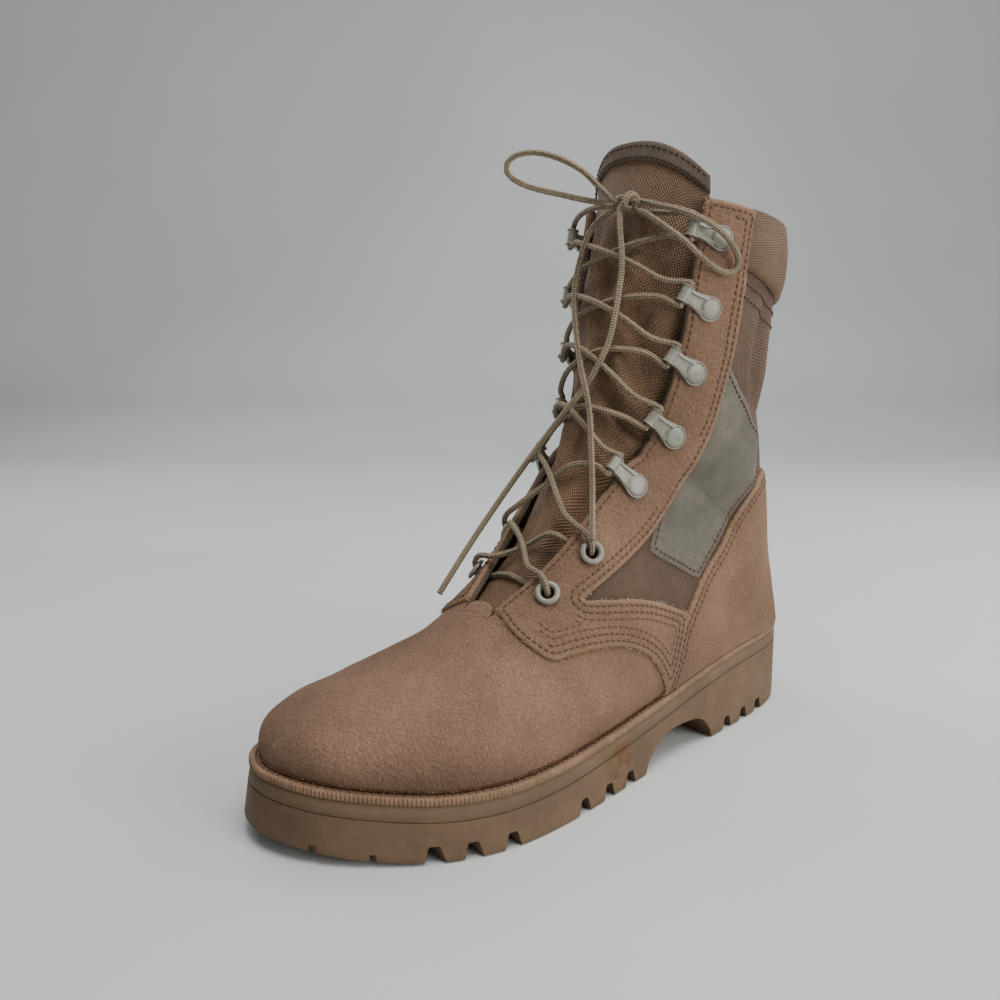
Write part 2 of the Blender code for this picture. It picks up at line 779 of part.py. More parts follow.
def make_binding(collection, surface):
    columns = spread(-1.0, 1.0, 2 * TONGUE_COLUMNS)
    low = binding_start()

    def lower_key(across):
        place, turn = tongue_key(low, across)
        if place >= COLLAR_ROW + BINDING_CLEARANCE:
            return place, turn
        place = COLLAR_ROW + BINDING_CLEARANCE
        return place, tongue_edge(place) * across

    faces = []
    for a, b in zip(columns, columns[1:]):
        faces.append([lower_key(a), lower_key(b), tongue_key(1, b), tongue_key(1, a)])

    def place_of(key, layer):
        lift = GAP + (0.0 if layer else BINDING_THICKNESS)
        return skin(*key, lift - tongue_depth(*key))

    return shell("tongue_binding", faces, place_of, collection, surface)


def slab(name, levels, collection, surface):
    """A closed form through rings round the sole, each an inset and a height for every x."""
    bm = bmesh.new()
    count = 2 * SOLE_STATIONS
    rings = []
    for inset, height in levels:
        ring = []
        for i in range(count):
            point = inset_point(2 * i / count, inset)
            ring.append(bm.verts.new(to_row((point.x, point.y, height(point.x)))))
        rings.append(ring)
    for low, high in zip(rings, rings[1:]):
        for i in range(count):
            j = (i + 1) % count
            bm.faces.new([low[i], low[j], high[j], high[i]])
    for ring in (rings[0], rings[-1]):
        for i in range(SOLE_STATIONS):
            corners = [ring[i], ring[i + 1], ring[(count - i - 1) % count], ring[(count - i) % count]]
            whole = [v for k, v in enumerate(corners) if v not in corners[:k]]
            bm.faces.new(whole)
    return new_object(name, mesh_from(name, bm), collection, surface)


def wall_inset(x, height):
    """How far the sole's side has come in at a height."""
    return flare(x) * (height - spring(x)) / (rubber_top(x) - spring(x))


def midsole_base(x):
    return rubber_top(x) - MIDSOLE_THICKNESS


def make_outsole(collection, cutters, surface):
    levels = [
        (lambda x: SOLE_ROUNDING, spring),
        (lambda x: 0.0, lambda x: spring(x) + SOLE_ROUNDING),
        (lambda x: wall_inset(x, midsole_base(x)), midsole_base),
    ]
    made = slab("outsole", levels, collection, surface)
    outline = [(p.along * SOLE_LENGTH, p.up * ARCH_HEIGHT) for p in ARCH]
    boolean(made, prism("arch_cut", outline, -BALL_WIDTH, BALL_WIDTH, cutters), "DIFFERENCE")
    for number, cutter in enumerate(tread_cutters(cutters)):
        cutter.name = f"tread_cut_{number}"
        boolean(made, cutter, "DIFFERENCE")
    return made


def joined(objects, name, collection):
    """One cutter from several that lie apart."""
    bm = bmesh.new()
    for made in objects:
        bm.from_mesh(made.data)
        bpy.data.objects.remove(made)
    cutter = new_object(name, mesh_from(name, bm), collection)
    cutter.hide_render = True
    cutter.display_type = "WIRE"
    return cutter


def turn_at(x):
    """The turn along the outer side of the outline at x."""
    return math.acos(1 - 2 * x / SOLE_LENGTH) / math.pi


def tread_cutters(collection):
    """Notches and slits in both edges."""
    below = -0.01
    pieces = []
    for station in NOTCHES:
        x = station * SOLE_LENGTH
        base = spring(x)
        outline = [
            (x - NOTCH_MOUTH / 2, base + below),
            (x - NOTCH_MOUTH / 2, base - 0.0002),
            (x - NOTCH_ROOT / 2, base + NOTCH_DEPTH),
            (x + NOTCH_ROOT / 2, base + NOTCH_DEPTH),
            (x + NOTCH_MOUTH / 2, base - 0.0002),
            (x + NOTCH_MOUTH / 2, base + below),
        ]
        for side, turn in ((1, turn_at(x)), (-1, 2 - turn_at(x))):
            edge = outline_point(turn).y
            reach = sorted((edge - side * NOTCH_REACH, edge + side * 0.01))
            pieces.append(prism("notch", outline, *reach, collection))
    for station in SLITS:
        x = station * SOLE_LENGTH
        base = spring(x)
        half = SLIT_WIDTH / 2
        outline = [(x - half, base + below), (x - half, base + SLIT_DEPTH)]
        outline += [(x + half, base + SLIT_DEPTH), (x + half, base + below)]
        for side, turn in ((1, turn_at(x)), (-1, 2 - turn_at(x))):
            edge = outline_point(turn).y
            reach = sorted((edge - side * NOTCH_REACH, edge + side * 0.01))
            pieces.append(prism("slit", outline, *reach, collection))
    return [joined(pieces, "tread", collection)]


def make_midsole(collection, surface):
    """The band under the welt, with a raised bed inside the welt strip."""
    bed = lambda x: feather_inset(x) + WELT_BED
    levels = [
        (lambda x: wall_inset(x, midsole_base(x)) + GAP, lambda x: midsole_base(x) + GAP),
        (lambda x: flare(x) + GAP, lambda x: rubber_top(x)),
        (lambda x: bed(x) + GAP, lambda x: rubber_top(x)),
        (lambda x: bed(x) + GAP, lambda x: sole_top(x)),
    ]
    return slab("midsole", levels, collection, surface)


def ring_strip(name, levels, collection, surface):
    """A closed strip round the sole through rings in order."""
    bm = bmesh.new()
    count = 2 * SOLE_STATIONS
    rings = []
    for inset, height in levels:
        points = [inset_point(2 * i / count, inset) for i in range(count)]
        rings.append([bm.verts.new(to_row((p.x, p.y, height(p.x)))) for p in points])
    for low, high in zip(rings, rings[1:] + rings[:1]):
        for i in range(count):
            j = (i + 1) % count
            bm.faces.new([low[i], low[j], high[j], high[i]])
    return new_object(name, mesh_from(name, bm), collection, surface)


def make_welt(collection, surface):
    inner = lambda x: feather_inset(x) + WELT_BED
    levels = [
        (lambda x: flare(x) - SOLE_ROUNDING / 2, lambda x: rubber_top(x) + GAP),
        (lambda x: flare(x) - SOLE_ROUNDING / 2, sole_top),
        (inner, sole_top),
        (inner, lambda x: rubber_top(x) + GAP),
    ]
    return ring_strip("welt", levels, collection, surface)


def make_insole(collection, surface):
    inset = lambda x: feather_inset(x) + WALL + INSOLE_CLEARANCE
    levels = [
        (inset, lambda x: sole_top(x) + GAP),
        (inset, lambda x: sole_top(x) + INSOLE_THICKNESS),
    ]
    return slab("insole", levels, collection, surface)


def turn_inside(place, distance):
    """The turn that lies this far along the skin behind the throat's edge."""
    turn = throat(place)
    step = 0.01
    gone = 0.0
    here = skin_point(place, turn)
    while gone < distance:
        turn += step
        ahead = skin_point(place, turn)
        gone += (ahead - here).length
        here = ahead
    return turn


def seat(place, distance, side, lift):
    """A frame on the eyestay: x towards the throat, y up along its edge and z out."""
    turn = side * turn_inside(place, distance)
    out = skin_normal(place, turn)
    ahead = skin_point(place, turn - side * 0.05) - skin_point(place, turn)
    ahead = (ahead - out * ahead.dot(out)).normalized()
    along = out.cross(ahead)
    origin = to_row(skin(place, turn, lift))
    frame = Matrix((ahead, along, out)).transposed().to_4x4()
    frame.translation = origin
    return frame


def make_eyelets(collection, cutters, surface, pierced):
    """Rolled rings in holes that go through the eyestays and the upper."""
    holes = []
    radius = EYELET_HOLE + EYELET_RING
    for side_name, side in SIDES.items():
        for number, eyelet in enumerate(EYELETS, 1):
            frame = seat(*eyelet, side, GAP + SUEDE + GAP + EYELET_RING)
            bpy.ops.mesh.primitive_torus_add(
                major_radius=radius,
                minor_radius=EYELET_RING,
                major_segments=12,
                minor_segments=5,
            )
            ring = bpy.context.object
            ring.name = f"eyelet_{side_name}_{number}"
            ring.matrix_world = frame
            ring.data.materials.append(surface)
            for owner in list(ring.users_collection):
                owner.objects.unlink(ring)
            collection.objects.link(ring)
            holes.append((f"{side_name}_{number}", side_name, frame))
    for name, side_name, frame in holes:
        bpy.ops.mesh.primitive_cylinder_add(vertices=10, radius=EYELET_HOLE, depth=0.02)
        hole = bpy.context.object
        hole.name = f"hole_{name}"
        hole.matrix_world = frame
        hole.hide_render = True
        hole.display_type = "WIRE"
        for owner in list(hole.users_collection):
            owner.objects.unlink(hole)
        cutters.objects.link(hole)
        boolean(pierced["upper"], hole, "DIFFERENCE")
        boolean(pierced[side_name], hole, "DIFFERENCE")


def hook_mesh(cutters):
    """A round button, a neck and a tube with a bore for the lace."""
    bm = bmesh.new()
    bmesh.ops.create_cone(
        bm,
        cap_ends=True,
        segments=10,
        radius1=HOOK_BUTTON_RADIUS,
        radius2=HOOK_BUTTON_RADIUS * 0.86,
        depth=HOOK_BUTTON_THICKNESS,
        matrix=Matrix.Translation((0, 0, HOOK_BUTTON_THICKNESS / 2)),
    )
    button = new_object("hook", mesh_from("hook", bm), cutters)
    bm = bmesh.new()
    bmesh.ops.create_cube(bm, size=1.0)
    neck_top = HOOK_RISE * 1.25
    size = Vector((HOOK_REACH, HOOK_NECK_WIDTH, neck_top - HOOK_RISE * 0.4))
    bmesh.ops.scale(bm, vec=size, verts=bm.verts)
    centre = Vector((HOOK_REACH / 2, 0, (neck_top + HOOK_RISE * 0.4) / 2))
    bmesh.ops.translate(bm, vec=centre, verts=bm.verts)
    neck = new_object("hook_neck", mesh_from("hook_neck", bm), cutters)
    tubes = []
    lie_down = Matrix.Rotation(math.pi / 2, 4, "X")
    at_front = Matrix.Translation((HOOK_REACH, 0, HOOK_RISE))
    for name, radius, length in (
        ("hook_tube", HOOK_TUBE_RADIUS, HOOK_TUBE_LENGTH),
        ("hook_bore", HOOK_BORE, HOOK_TUBE_LENGTH * 1.5),
    ):
        bm = bmesh.new()
        bmesh.ops.create_cone(
            bm,
            cap_ends=True,
            segments=8,
            radius1=radius,
            radius2=radius,
            depth=length,
            matrix=at_front @ lie_down,
        )
        tubes.append(new_object(name, mesh_from(name, bm), cutters))
    for cutter, operation in ((neck, "UNION"), (tubes[0], "UNION"), (tubes[1], "DIFFERENCE")):
        boolean(button, cutter, operation)
    bpy.context.view_layer.update()
    graph = bpy.context.evaluated_depsgraph_get()
    mesh = bpy.data.meshes.new_from_object(button.evaluated_get(graph))
    mesh.name = "lace_hook"
    for helper in (button, neck, *tubes):
        bpy.data.objects.remove(helper)
    return mesh


def hook_seat(hook, side):
    return seat(*hook, side, GAP + SUEDE + GAP)


def make_hooks(collection, cutters, surface):
    mesh = hook_mesh(cutters)
    mesh.materials.append(surface)
    for side_name, side in SIDES.items():
        for number, hook in enumerate(HOOKS, 1):
            made = new_object(f"lace_hook_{side_name}_{number}", mesh, collection)
            made.matrix_world = hook_seat(hook, side)


def tube(name, points, radius, collection, surface, resolution=2):
    """A round cord along points in the row's frame."""
    curve = bpy.data.curves.new(name, "CURVE")
    curve.dimensions = "3D"
    curve.bevel_depth = radius
    curve.bevel_resolution = resolution
    curve.use_fill_caps = True
    line = curve.splines.new("POLY")
    line.points.add(len(points) - 1)
    for place, point in zip(line.points, points):
        place.co = (*point, 1.0)
    return new_object(name, curve, collection, surface)


def as_mesh(made, collection, surface):
    """The same form as a mesh, with its end caps joined on."""
    graph = bpy.context.evaluated_depsgraph_get()
    mesh = bpy.data.meshes.new_from_object(made.evaluated_get(graph))
    bm = bmesh.new()
    bm.from_mesh(mesh)
    bmesh.ops.remove_doubles(bm, verts=bm.verts, dist=1e-6)
    name = made.name
    bpy.data.objects.remove(made)
    bpy.data.meshes.remove(mesh)
    return new_object(name, mesh_from(name, bm), collection, surface)


def over_tongue(low, high, side, steps):
    """Points of one run of lace, from one side's row to the other side's next row."""
    points = []
    for i in range(1, steps):
        share = i / steps
        place = low + (high - low) * share
        turn = side * throat(place) * (1 - 2 * share)
        sunk = (4 * share * (1 - share)) ** 2
        on_edge = GAP + SUEDE + GAP + LACE_RADIUS
        on_tongue = LACE_RADIUS + LACE_LIFT - tongue_depth(place, turn)
        points.append(to_row(skin(place, turn, on_edge + (on_tongue - on_edge) * sunk)))
    return points


def lace_route(side):
    """Up the boot from the lowest eyelet, changing sides at every row."""
    above_ring = GAP + SUEDE + 3 * GAP + 2 * EYELET_RING + LACE_RADIUS
    past_ring = EYELET_HOLE + 2 * EYELET_RING + LACE_RADIUS
    spread_out = past_ring / 2
    half = HOOK_TUBE_LENGTH / 2 + LACE_RADIUS
    points = []
    now = side
    rows = EYELETS + HOOKS
    for number, row in enumerate(rows):
        up = -now
        if number < len(EYELETS):
            frame = seat(*row, now, above_ring)
            if number:
                points.append(frame @ Vector((past_ring, -up * spread_out, 0)))
            points.append(frame @ Vector((0, 0, 0)))
            points.append(frame @ Vector((past_ring, up * spread_out, 0)))
        else:
            frame = hook_seat(row, now)
            points.append(frame @ Vector((HOOK_REACH, -up * half, HOOK_RISE)))
            points.append(frame @ Vector((HOOK_REACH, up * half, HOOK_RISE)))
        if number + 1 < len(rows):
            points += over_tongue(row.place, rows[number + 1].place, now, 4)
            now = -now
    last = RUN_OUTER if now > 0 else RUN_INNER
    return points + [Vector(p) for p in last]


def smooth(points, steps):
    """More points on the smooth curve through a route's own points."""
    places = [i / steps for i in range((len(points) - 1) * steps + 1)]
    return [Vector(table_at(points, place)) for place in places]


def make_bow(collection, surface):
    """The knot, the two loops and the two ends."""
    for name, route, steps in (
        ("lace_loop_outer", LOOP_OUTER, 1),
        ("lace_loop_inner", LOOP_INNER, 1),
        ("lace_end_outer", END_OUTER, 2),
        ("lace_end_inner", END_INNER, 2),
    ):
        tube(name, smooth(route, steps), LACE_RADIUS, collection, surface)
    axis = Vector(KNOT_AXIS).normalized()
    shares = [share for share, _ in KNOT_SHAPE]
    points = [Vector(KNOT_CENTRE) + axis * share * KNOT_LENGTH / 2 for share in shares]
    knot = tube("lace_knot", points, KNOT_RADIUS, collection, surface)
    for point, (_, size) in zip(knot.data.splines[0].points, KNOT_SHAPE):
        point.radius = size


def make_lacing(collection, cutters, surface):
    """Two crossing laces made one body where they cross."""
    strands = []
    for name, side in (("lacing", 1), ("lacing_other", -1)):
        route = lace_route(side)
        owner = collection if name == "lacing" else cutters
        strands.append(as_mesh(tube(name, route, LACE_RADIUS, owner, surface), owner, surface))
    strands[1].hide_render = True
    strands[1].display_type = "WIRE"
    boolean(strands[0], strands[1], "UNION")
    return strands[0]


def main():
    for old in list(bpy.data.objects):
        bpy.data.objects.remove(old)
    boot = bpy.data.collections.new("combat_boot")
    cutters = bpy.data.collections.new("cutters")
    cutters.hide_render = True
    for made in (boot, cutters):
        bpy.context.scene.collection.children.link(made)
    suede = material("suede", LEATHER, 0.9)
    nylon = material("nylon", NYLON, 0.75)
    rubber = material("rubber", RUBBER, 0.7)
    strip = material("welt strip", STRIP, 0.7)
    webbing = material("webbing", WEBBING, 0.8)
    enamel = material("enamel", ENAMEL, 0.35)
    cord = material("lace cord", CORD, 0.8)
    foam = material("insole foam", FOAM, 0.9)

    make_outsole(boot, cutters, rubber)
    make_midsole(boot, rubber)
    make_welt(boot, strip)
    make_insole(boot, foam)
    upper = make_upper(boot, suede)
    pierced = {"upper": upper}
    stay_rows = QUARTER_ROWS + SHAFT_ROWS[1:]
    tape_rows = QUARTER_ROWS[3:] + SHAFT_ROWS[1:]
    for name, side in SIDES.items():
        pierced[name] = make_overlay(
            f"eyestay_{name}", stay_rows, EYESTAY, side, SUEDE, boot, cutters, suede
        )
        make_overlay(
            f"web_tape_{name}", tape_rows, TAPE, side, TAPE_THICKNESS, boot, cutters, webbing
        )
    make_counter(boot, cutters, suede)
    make_collar(boot, nylon)
    make_tongue(boot, nylon)
    make_binding(boot, nylon)
    make_eyelets(boot, cutters, enamel, pierced)
    make_hooks(boot, cutters, enamel)
    make_lacing(boot, cutters, cord)
    make_bow(boot, cord)


main()
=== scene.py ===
"""Looks for a left desert combat boot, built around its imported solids.

Lengths are in metres in the boot's own frame: x to the toe, y to the outer side, z up.
"""

import math
import random

import bmesh
import bpy
import numpy as np
from mathutils import Matrix, Vector, kdtree


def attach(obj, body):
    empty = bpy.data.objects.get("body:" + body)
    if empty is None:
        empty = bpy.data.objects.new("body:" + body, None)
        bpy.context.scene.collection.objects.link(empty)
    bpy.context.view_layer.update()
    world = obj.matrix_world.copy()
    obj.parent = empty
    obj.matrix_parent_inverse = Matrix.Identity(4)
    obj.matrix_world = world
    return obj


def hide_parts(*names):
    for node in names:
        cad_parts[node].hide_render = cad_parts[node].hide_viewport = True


bl_info = {
    "name": "Desert combat boot",
    "version": (1, 0, 0),
    "blender": (4, 5, 0),
    "location": "View3D > Sidebar > Boot",
    "description": "Builds the leather, cloth, rubber and lace of a combat boot on its solids",
    "category": "Add Mesh",
}

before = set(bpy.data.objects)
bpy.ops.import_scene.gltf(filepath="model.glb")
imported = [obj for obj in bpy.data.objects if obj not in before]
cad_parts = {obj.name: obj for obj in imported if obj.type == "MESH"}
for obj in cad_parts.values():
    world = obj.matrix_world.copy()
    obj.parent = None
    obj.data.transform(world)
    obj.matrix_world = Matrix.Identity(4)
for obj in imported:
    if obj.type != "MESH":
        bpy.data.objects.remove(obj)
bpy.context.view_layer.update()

# Sole, as in the solids
SOLE_LENGTH = 0.305
BALL_WIDTH = 0.115
HEEL_HEIGHT = 0.0395
TOE_SPRING = 0.007
SPRING_START = 0.787
SIDE_FLARE = 0.0034
MIDSOLE_THICKNESS = 0.0065
WELT_THICKNESS = 0.0033
WELT_BED = 0.0040
LEDGE_HEEL = 0.0015
LEDGE_TOE = 0.0046
SOLE_ROUNDING = 0.0010
INSOLE_THICKNESS = 0.0030
HEEL_SETBACK = 0.046
NOTCH_DEPTH = 0.0068
NOTCH_MOUTH = 0.0080
NOTCH_ROOT = 0.0046
NOTCH_REACH = 0.015
SLIT_DEPTH = 0.0030
SLIT_WIDTH = 0.0022
ARCH_HEIGHT = 0.0155

# Upper, as in the solids
INSTEP_HEIGHT = 0.172
SHAFT_HEIGHT = 0.262
BACK_HEIGHT = 0.243
SHAFT_WIDTH = 0.090
WALL = 0.0024
TOE_STEEPNESS = 0.0002
SUEDE = 0.0016
TAPE_THICKNESS = 0.0009
COLLAR_PAD = 0.0040
TONGUE_THICKNESS = 0.0030
TONGUE_GAP = 0.0009
TONGUE_DIP = 0.0045
TONGUE_LAP = 0.20
TONGUE_NARROWING = 0.19
TONGUE_WIDEST = 0.80
BINDING_WIDTH = 0.0085
GAP = 0.0003

# Fastenings, as in the solids
EYELET_HOLE = 0.0030
EYELET_RING = 0.0013
HOOK_BUTTON_RADIUS = 0.0058
HOOK_BUTTON_THICKNESS = 0.0020
HOOK_REACH = 0.0150
HOOK_TUBE_LENGTH = 0.0090
HOOK_TUBE_RADIUS = 0.0026
HOOK_BORE = 0.0020
HOOK_RISE = 0.0016
LACE_RADIUS = 0.0015

# Half widths as shares of the ball width, at even turns from the heel to the toe: outer, inner
OUTLINE = [
    (-0.028, 0.028), (0.104, 0.157), (0.207, 0.251), (0.271, 0.309), (0.311, 0.327),
    (0.344, 0.308), (0.379, 0.278), (0.422, 0.261), (0.473, 0.301), (0.516, 0.375),
    (0.517, 0.428), (0.446, 0.455), (0.327, 0.415), (0.195, 0.324), (0.050, 0.209),
    (-0.076, 0.076),
]
# Rubber thickness as a share of the heel height, ledge and flare grown, at even steps of length
SIDE = [
    (1.000, 0.00, 0.00), (0.990, 0.10, 0.00), (0.960, 0.25, 0.00), (0.860, 0.38, 0.12),
    (0.735, 0.52, 0.26), (0.640, 0.68, 0.40), (0.580, 0.76, 0.53), (0.552, 0.82, 0.64),
    (0.556, 0.88, 0.75), (0.572, 0.95, 0.88), (0.550, 1.00, 1.00),
]
# Sections on the sole: front, rise, foot, width, ridge, widest, top round, low round, throat
FOOT = [
    (1.000, 0.186, 1.000, 0.0000, -0.078, 0.60, 2.10, 2.00, 0.13),
    (0.998, 0.206, 0.997, 0.0350, -0.078, 0.62, 2.15, 2.00, 0.13),
    (0.993, 0.235, 0.986, 0.1215, -0.078, 0.64, 2.15, 2.00, 0.13),
    (0.973, 0.270, 0.963, 0.2260, -0.070, 0.66, 2.15, 2.00, 0.13),
    (0.919, 0.302, 0.922, 0.3305, -0.052, 0.68, 2.10, 2.00, 0.13),
    (0.855, 0.328, 0.861, 0.4045, -0.035, 0.70, 2.10, 2.00, 0.11),
    (0.777, 0.363, 0.790, 0.4390, -0.017, 0.72, 2.00, 2.00, 0.10),
    (0.702, 0.416, 0.702, 0.4215, -0.009, 0.74, 2.00, 2.00, 0.11),
    (0.641, 0.488, 0.611, 0.3955, -0.009, 0.75, 2.00, 2.00, 0.16),
    (0.594, 0.578, 0.509, 0.3650, -0.009, 0.74, 2.00, 2.00, 0.26),
    (0.557, 0.674, 0.404, 0.3480, -0.009, 0.72, 2.00, 2.00, 0.33),
    (0.526, 0.767, 0.293, 0.3390, -0.017, 0.68, 2.00, 2.00, 0.38),
    (0.503, 0.860, 0.178, 0.3350, -0.017, 0.64, 2.00, 2.00, 0.43),
    (0.491, 0.910, 0.103, 0.3350, -0.017, 0.62, 1.98, 1.95, 0.45),
    (0.482, 0.948, 0.049, 0.3350, -0.017, 0.60, 1.95, 1.92, 0.48),
    (0.477, 0.977, 0.019, 0.3350, -0.017, 0.58, 1.95, 1.90, 0.49),
    (0.472, 1.000, 0.000, 0.3350, -0.017, 0.56, 2.00, 1.90, 0.51),
]
# Sections on the back line: front, rise, back, lift, width, ridge, widest, top, low, throat
SHAFT = [
    (0.462, 0.111, 0.022, 0.136, 0.4280, -0.017, 0.52, 2.00, 1.85, 0.56),
    (0.448, 0.233, 0.039, 0.276, 0.4335, -0.017, 0.49, 2.00, 1.80, 0.60),
    (0.435, 0.356, 0.056, 0.406, 0.4445, -0.026, 0.47, 2.00, 1.75, 0.63),
    (0.425, 0.478, 0.069, 0.530, 0.4555, -0.026, 0.46, 2.00, 1.75, 0.65),
    (0.415, 0.611, 0.073, 0.650, 0.4665, -0.026, 0.45, 2.00, 1.80, 0.65),
    (0.404, 0.744, 0.065, 0.770, 0.4835, -0.026, 0.45, 2.00, 1.85, 0.64),
    (0.394, 0.878, 0.056, 0.890, 0.4945, -0.026, 0.46, 2.00, 1.90, 0.63),
    (0.384, 1.000, 0.057, 1.000, 0.5000, -0.026, 0.47, 2.00, 1.90, 0.62),
    (0.374, 1.267, 0.057, 1.135, 0.5000, -0.026, 0.47, 2.00, 1.90, 0.62),
]
HEEL_ROW = len(FOOT) - 1
COLLAR_ROW = HEEL_ROW + len(SHAFT) - 1
TONGUE_ROW = COLLAR_ROW + 1
THROAT_ROW = 7.5
TONGUE_START = 6.6
TONGUE_SHOULDER = 24.45
TONGUE_NARROW_ROW = 20

# Arch of the outsole: shares of the sole length and of the arch height
ARCH = [
    (0.272, -0.20), (0.279, 0.28), (0.300, 0.75), (0.332, 0.95), (0.388, 1.00), (0.420, 0.80),
    (0.447, 0.40), (0.462, -0.20),
]
NOTCHES = [0.127, 0.177, 0.228, 0.497, 0.549, 0.606, 0.740, 0.795, 0.842]
SLITS = [0.907, 0.962]

# Outlines seen from the side: shares of the upper's length and shaft height, corner radius in mm
EYESTAY = [
    (0.228, 0.992, 3), (0.238, 0.930, 20), (0.247, 0.860, 30), (0.253, 0.770, 30),
    (0.264, 0.690, 30), (0.284, 0.598, 30), (0.322, 0.510, 30), (0.373, 0.448, 30),
    (0.425, 0.400, 20), (0.477, 0.368, 10), (0.528, 0.340, 6), (0.560, 0.322, 3),
    (0.515, 0.318, 10), (0.467, 0.312, 20), (0.418, 0.297, 12), (0.350, 0.262, 3),
    (0.360, 0.236, 4), (0.404, 0.130, 4), (0.426, 0.175, 12), (0.453, 0.212, 14),
    (0.489, 0.236, 14), (0.530, 0.248, 14), (0.581, 0.250, 14), (0.612, 0.247, 12),
    (0.641, 0.243, 5), (0.663, 0.276, 10), (0.654, 0.306, 12), (0.640, 0.334, 10),
    (0.622, 0.400, 2), (0.420, 0.900, 2), (0.334, 0.936, 4), (0.323, 0.974, 4),
    (0.298, 0.993, 3),
]
COUNTER = [
    (-0.10, 0.02, 1), (-0.10, 0.480, 1), (0.060, 0.486, 14), (0.152, 0.483, 12),
    (0.220, 0.430, 20), (0.254, 0.370, 20), (0.310, 0.316, 14), (0.344, 0.270, 14),
    (0.370, 0.236, 14), (0.420, 0.105, 2), (0.414, 0.02, 1),
]
TAPE = [
    (0.275, 0.715, 4), (0.300, 0.640, 10), (0.330, 0.570, 10), (0.422, 0.384, 4),
    (0.314, 0.314, 4), (0.260, 0.374, 20), (0.226, 0.436, 14), (0.150, 0.480, 10),
    (0.130, 0.530, 10), (0.195, 0.605, 20),
]

# Rows that carry an eyelet or a hook, and how far each sits behind the opening's edge
EYELETS = [(8.75, 0.0105), (10.15, 0.0105)]
HOOKS = [(12.35, 0.0080), (16.75, 0.0088), (18.90, 0.0095), (20.90, 0.0100), (22.85, 0.0090)]
SIDES = {"outer": 1, "inner": -1}

# The bow's routes, as in the solids
RUN_OUTER = [
    (0.0582, 0.0348, 0.2522), (0.0602, 0.0282, 0.2516), (0.0616, 0.0210, 0.2522),
    (0.0626, 0.0166, 0.2526), (0.0632, 0.0134, 0.2525),
]
RUN_INNER = [
    (0.0584, -0.0398, 0.2530), (0.0614, -0.0325, 0.2552), (0.0638, -0.0235, 0.2568),
    (0.0654, -0.0150, 0.2574), (0.0662, -0.0100, 0.2572), (0.0666, -0.0066, 0.2569),
]
LOOP_OUTER = [
    (0.0658, 0.0172, 0.2564), (0.0647, 0.0251, 0.2544), (0.0634, 0.0337, 0.2523),
    (0.0596, 0.0411, 0.2489), (0.0520, 0.0460, 0.2436), (0.0436, 0.0476, 0.2366),
    (0.0386, 0.0466, 0.2300), (0.0406, 0.0452, 0.2258), (0.0471, 0.0433, 0.2262),
    (0.0560, 0.0410, 0.2313), (0.0640, 0.0367, 0.2391), (0.0673, 0.0282, 0.2455),
    (0.0681, 0.0183, 0.2512), (0.0674, 0.0136, 0.2530),
]
LOOP_INNER = [
    (0.0698, -0.0048, 0.2607), (0.0734, -0.0094, 0.2664), (0.0776, -0.0146, 0.2726),
    (0.0839, -0.0231, 0.2784), (0.0912, -0.0325, 0.2816), (0.0971, -0.0400, 0.2804),
    (0.0998, -0.0432, 0.2762), (0.0986, -0.0422, 0.2716), (0.0942, -0.0378, 0.2676),
    (0.0884, -0.0316, 0.2648), (0.0820, -0.0246, 0.2626), (0.0762, -0.0180, 0.2604),
    (0.0714, -0.0118, 0.2588), (0.0700, -0.0066, 0.2574),
]
END_OUTER = [
    (0.0703, 0.0030, 0.2524), (0.0732, 0.0062, 0.2455), (0.0754, 0.0096, 0.2370),
    (0.0766, 0.0112, 0.2280), (0.0784, 0.0116, 0.2185), (0.0816, 0.0124, 0.2070),
    (0.0846, 0.0116, 0.1950), (0.0882, 0.0084, 0.1841), (0.0919, 0.0034, 0.1740),
    (0.0972, -0.0028, 0.1636), (0.1019, -0.0137, 0.1489), (0.1090, -0.0235, 0.1325),
    (0.1215, -0.0298, 0.1132), (0.1372, -0.0290, 0.0972), (0.1525, -0.0288, 0.0798),
]
END_INNER = [
    (0.0692, -0.0046, 0.2536), (0.0708, -0.0130, 0.2486), (0.0728, -0.0170, 0.2402),
    (0.0754, -0.0198, 0.2270), (0.0793, -0.0176, 0.2135), (0.0849, -0.0098, 0.1982),
    (0.0907, -0.0003, 0.1836), (0.0963, 0.0092, 0.1734), (0.0966, 0.0123, 0.1628),
    (0.0989, 0.0158, 0.1509), (0.1045, 0.0229, 0.1323), (0.1153, 0.0345, 0.1110),
]
KNOT_CENTRE = (0.0664, 0.0055, 0.2576)
KNOT_AXIS = (-0.22, 0.97, 0.02)


# ---- the boot's form ----


def unit(vectors):
    """Vectors at length one."""
    return vectors / np.linalg.norm(vectors, axis=1)[:, None]


def table_at(rows, place):
    """A smooth curve through a table's rows, read at row numbers that may be fractions."""
    rows = np.asarray(rows, float)
    place = np.clip(np.atleast_1d(np.asarray(place, float)), 0, len(rows) - 1)
    first = np.minimum(place.astype(int), len(rows) - 2)
    u = (place - first)[:, None]
    ends = np.vstack([2 * rows[0] - rows[1], rows, 2 * rows[-1] - rows[-2]])
    a, b, c, d = (ends[first + k] for k in range(4))
    bend = (2 * a - 5 * b + 4 * c - d) * u**2 + (3 * b - a - 3 * c + d) * u**3
    return 0.5 * (2 * b + (c - a) * u + bend)


def side_row(x):
    return table_at(SIDE, np.asarray(x, float) / SOLE_LENGTH * (len(SIDE) - 1))


def spring(x):
    past = np.maximum(0.0, np.asarray(x, float) / SOLE_LENGTH - SPRING_START)
    return TOE_SPRING * (past / (1 - SPRING_START)) ** 2


def rubber_top(x):
    return spring(x) + HEEL_HEIGHT * side_row(x)[:, 0]


def sole_top(x):
    return rubber_top(x) + WELT_THICKNESS


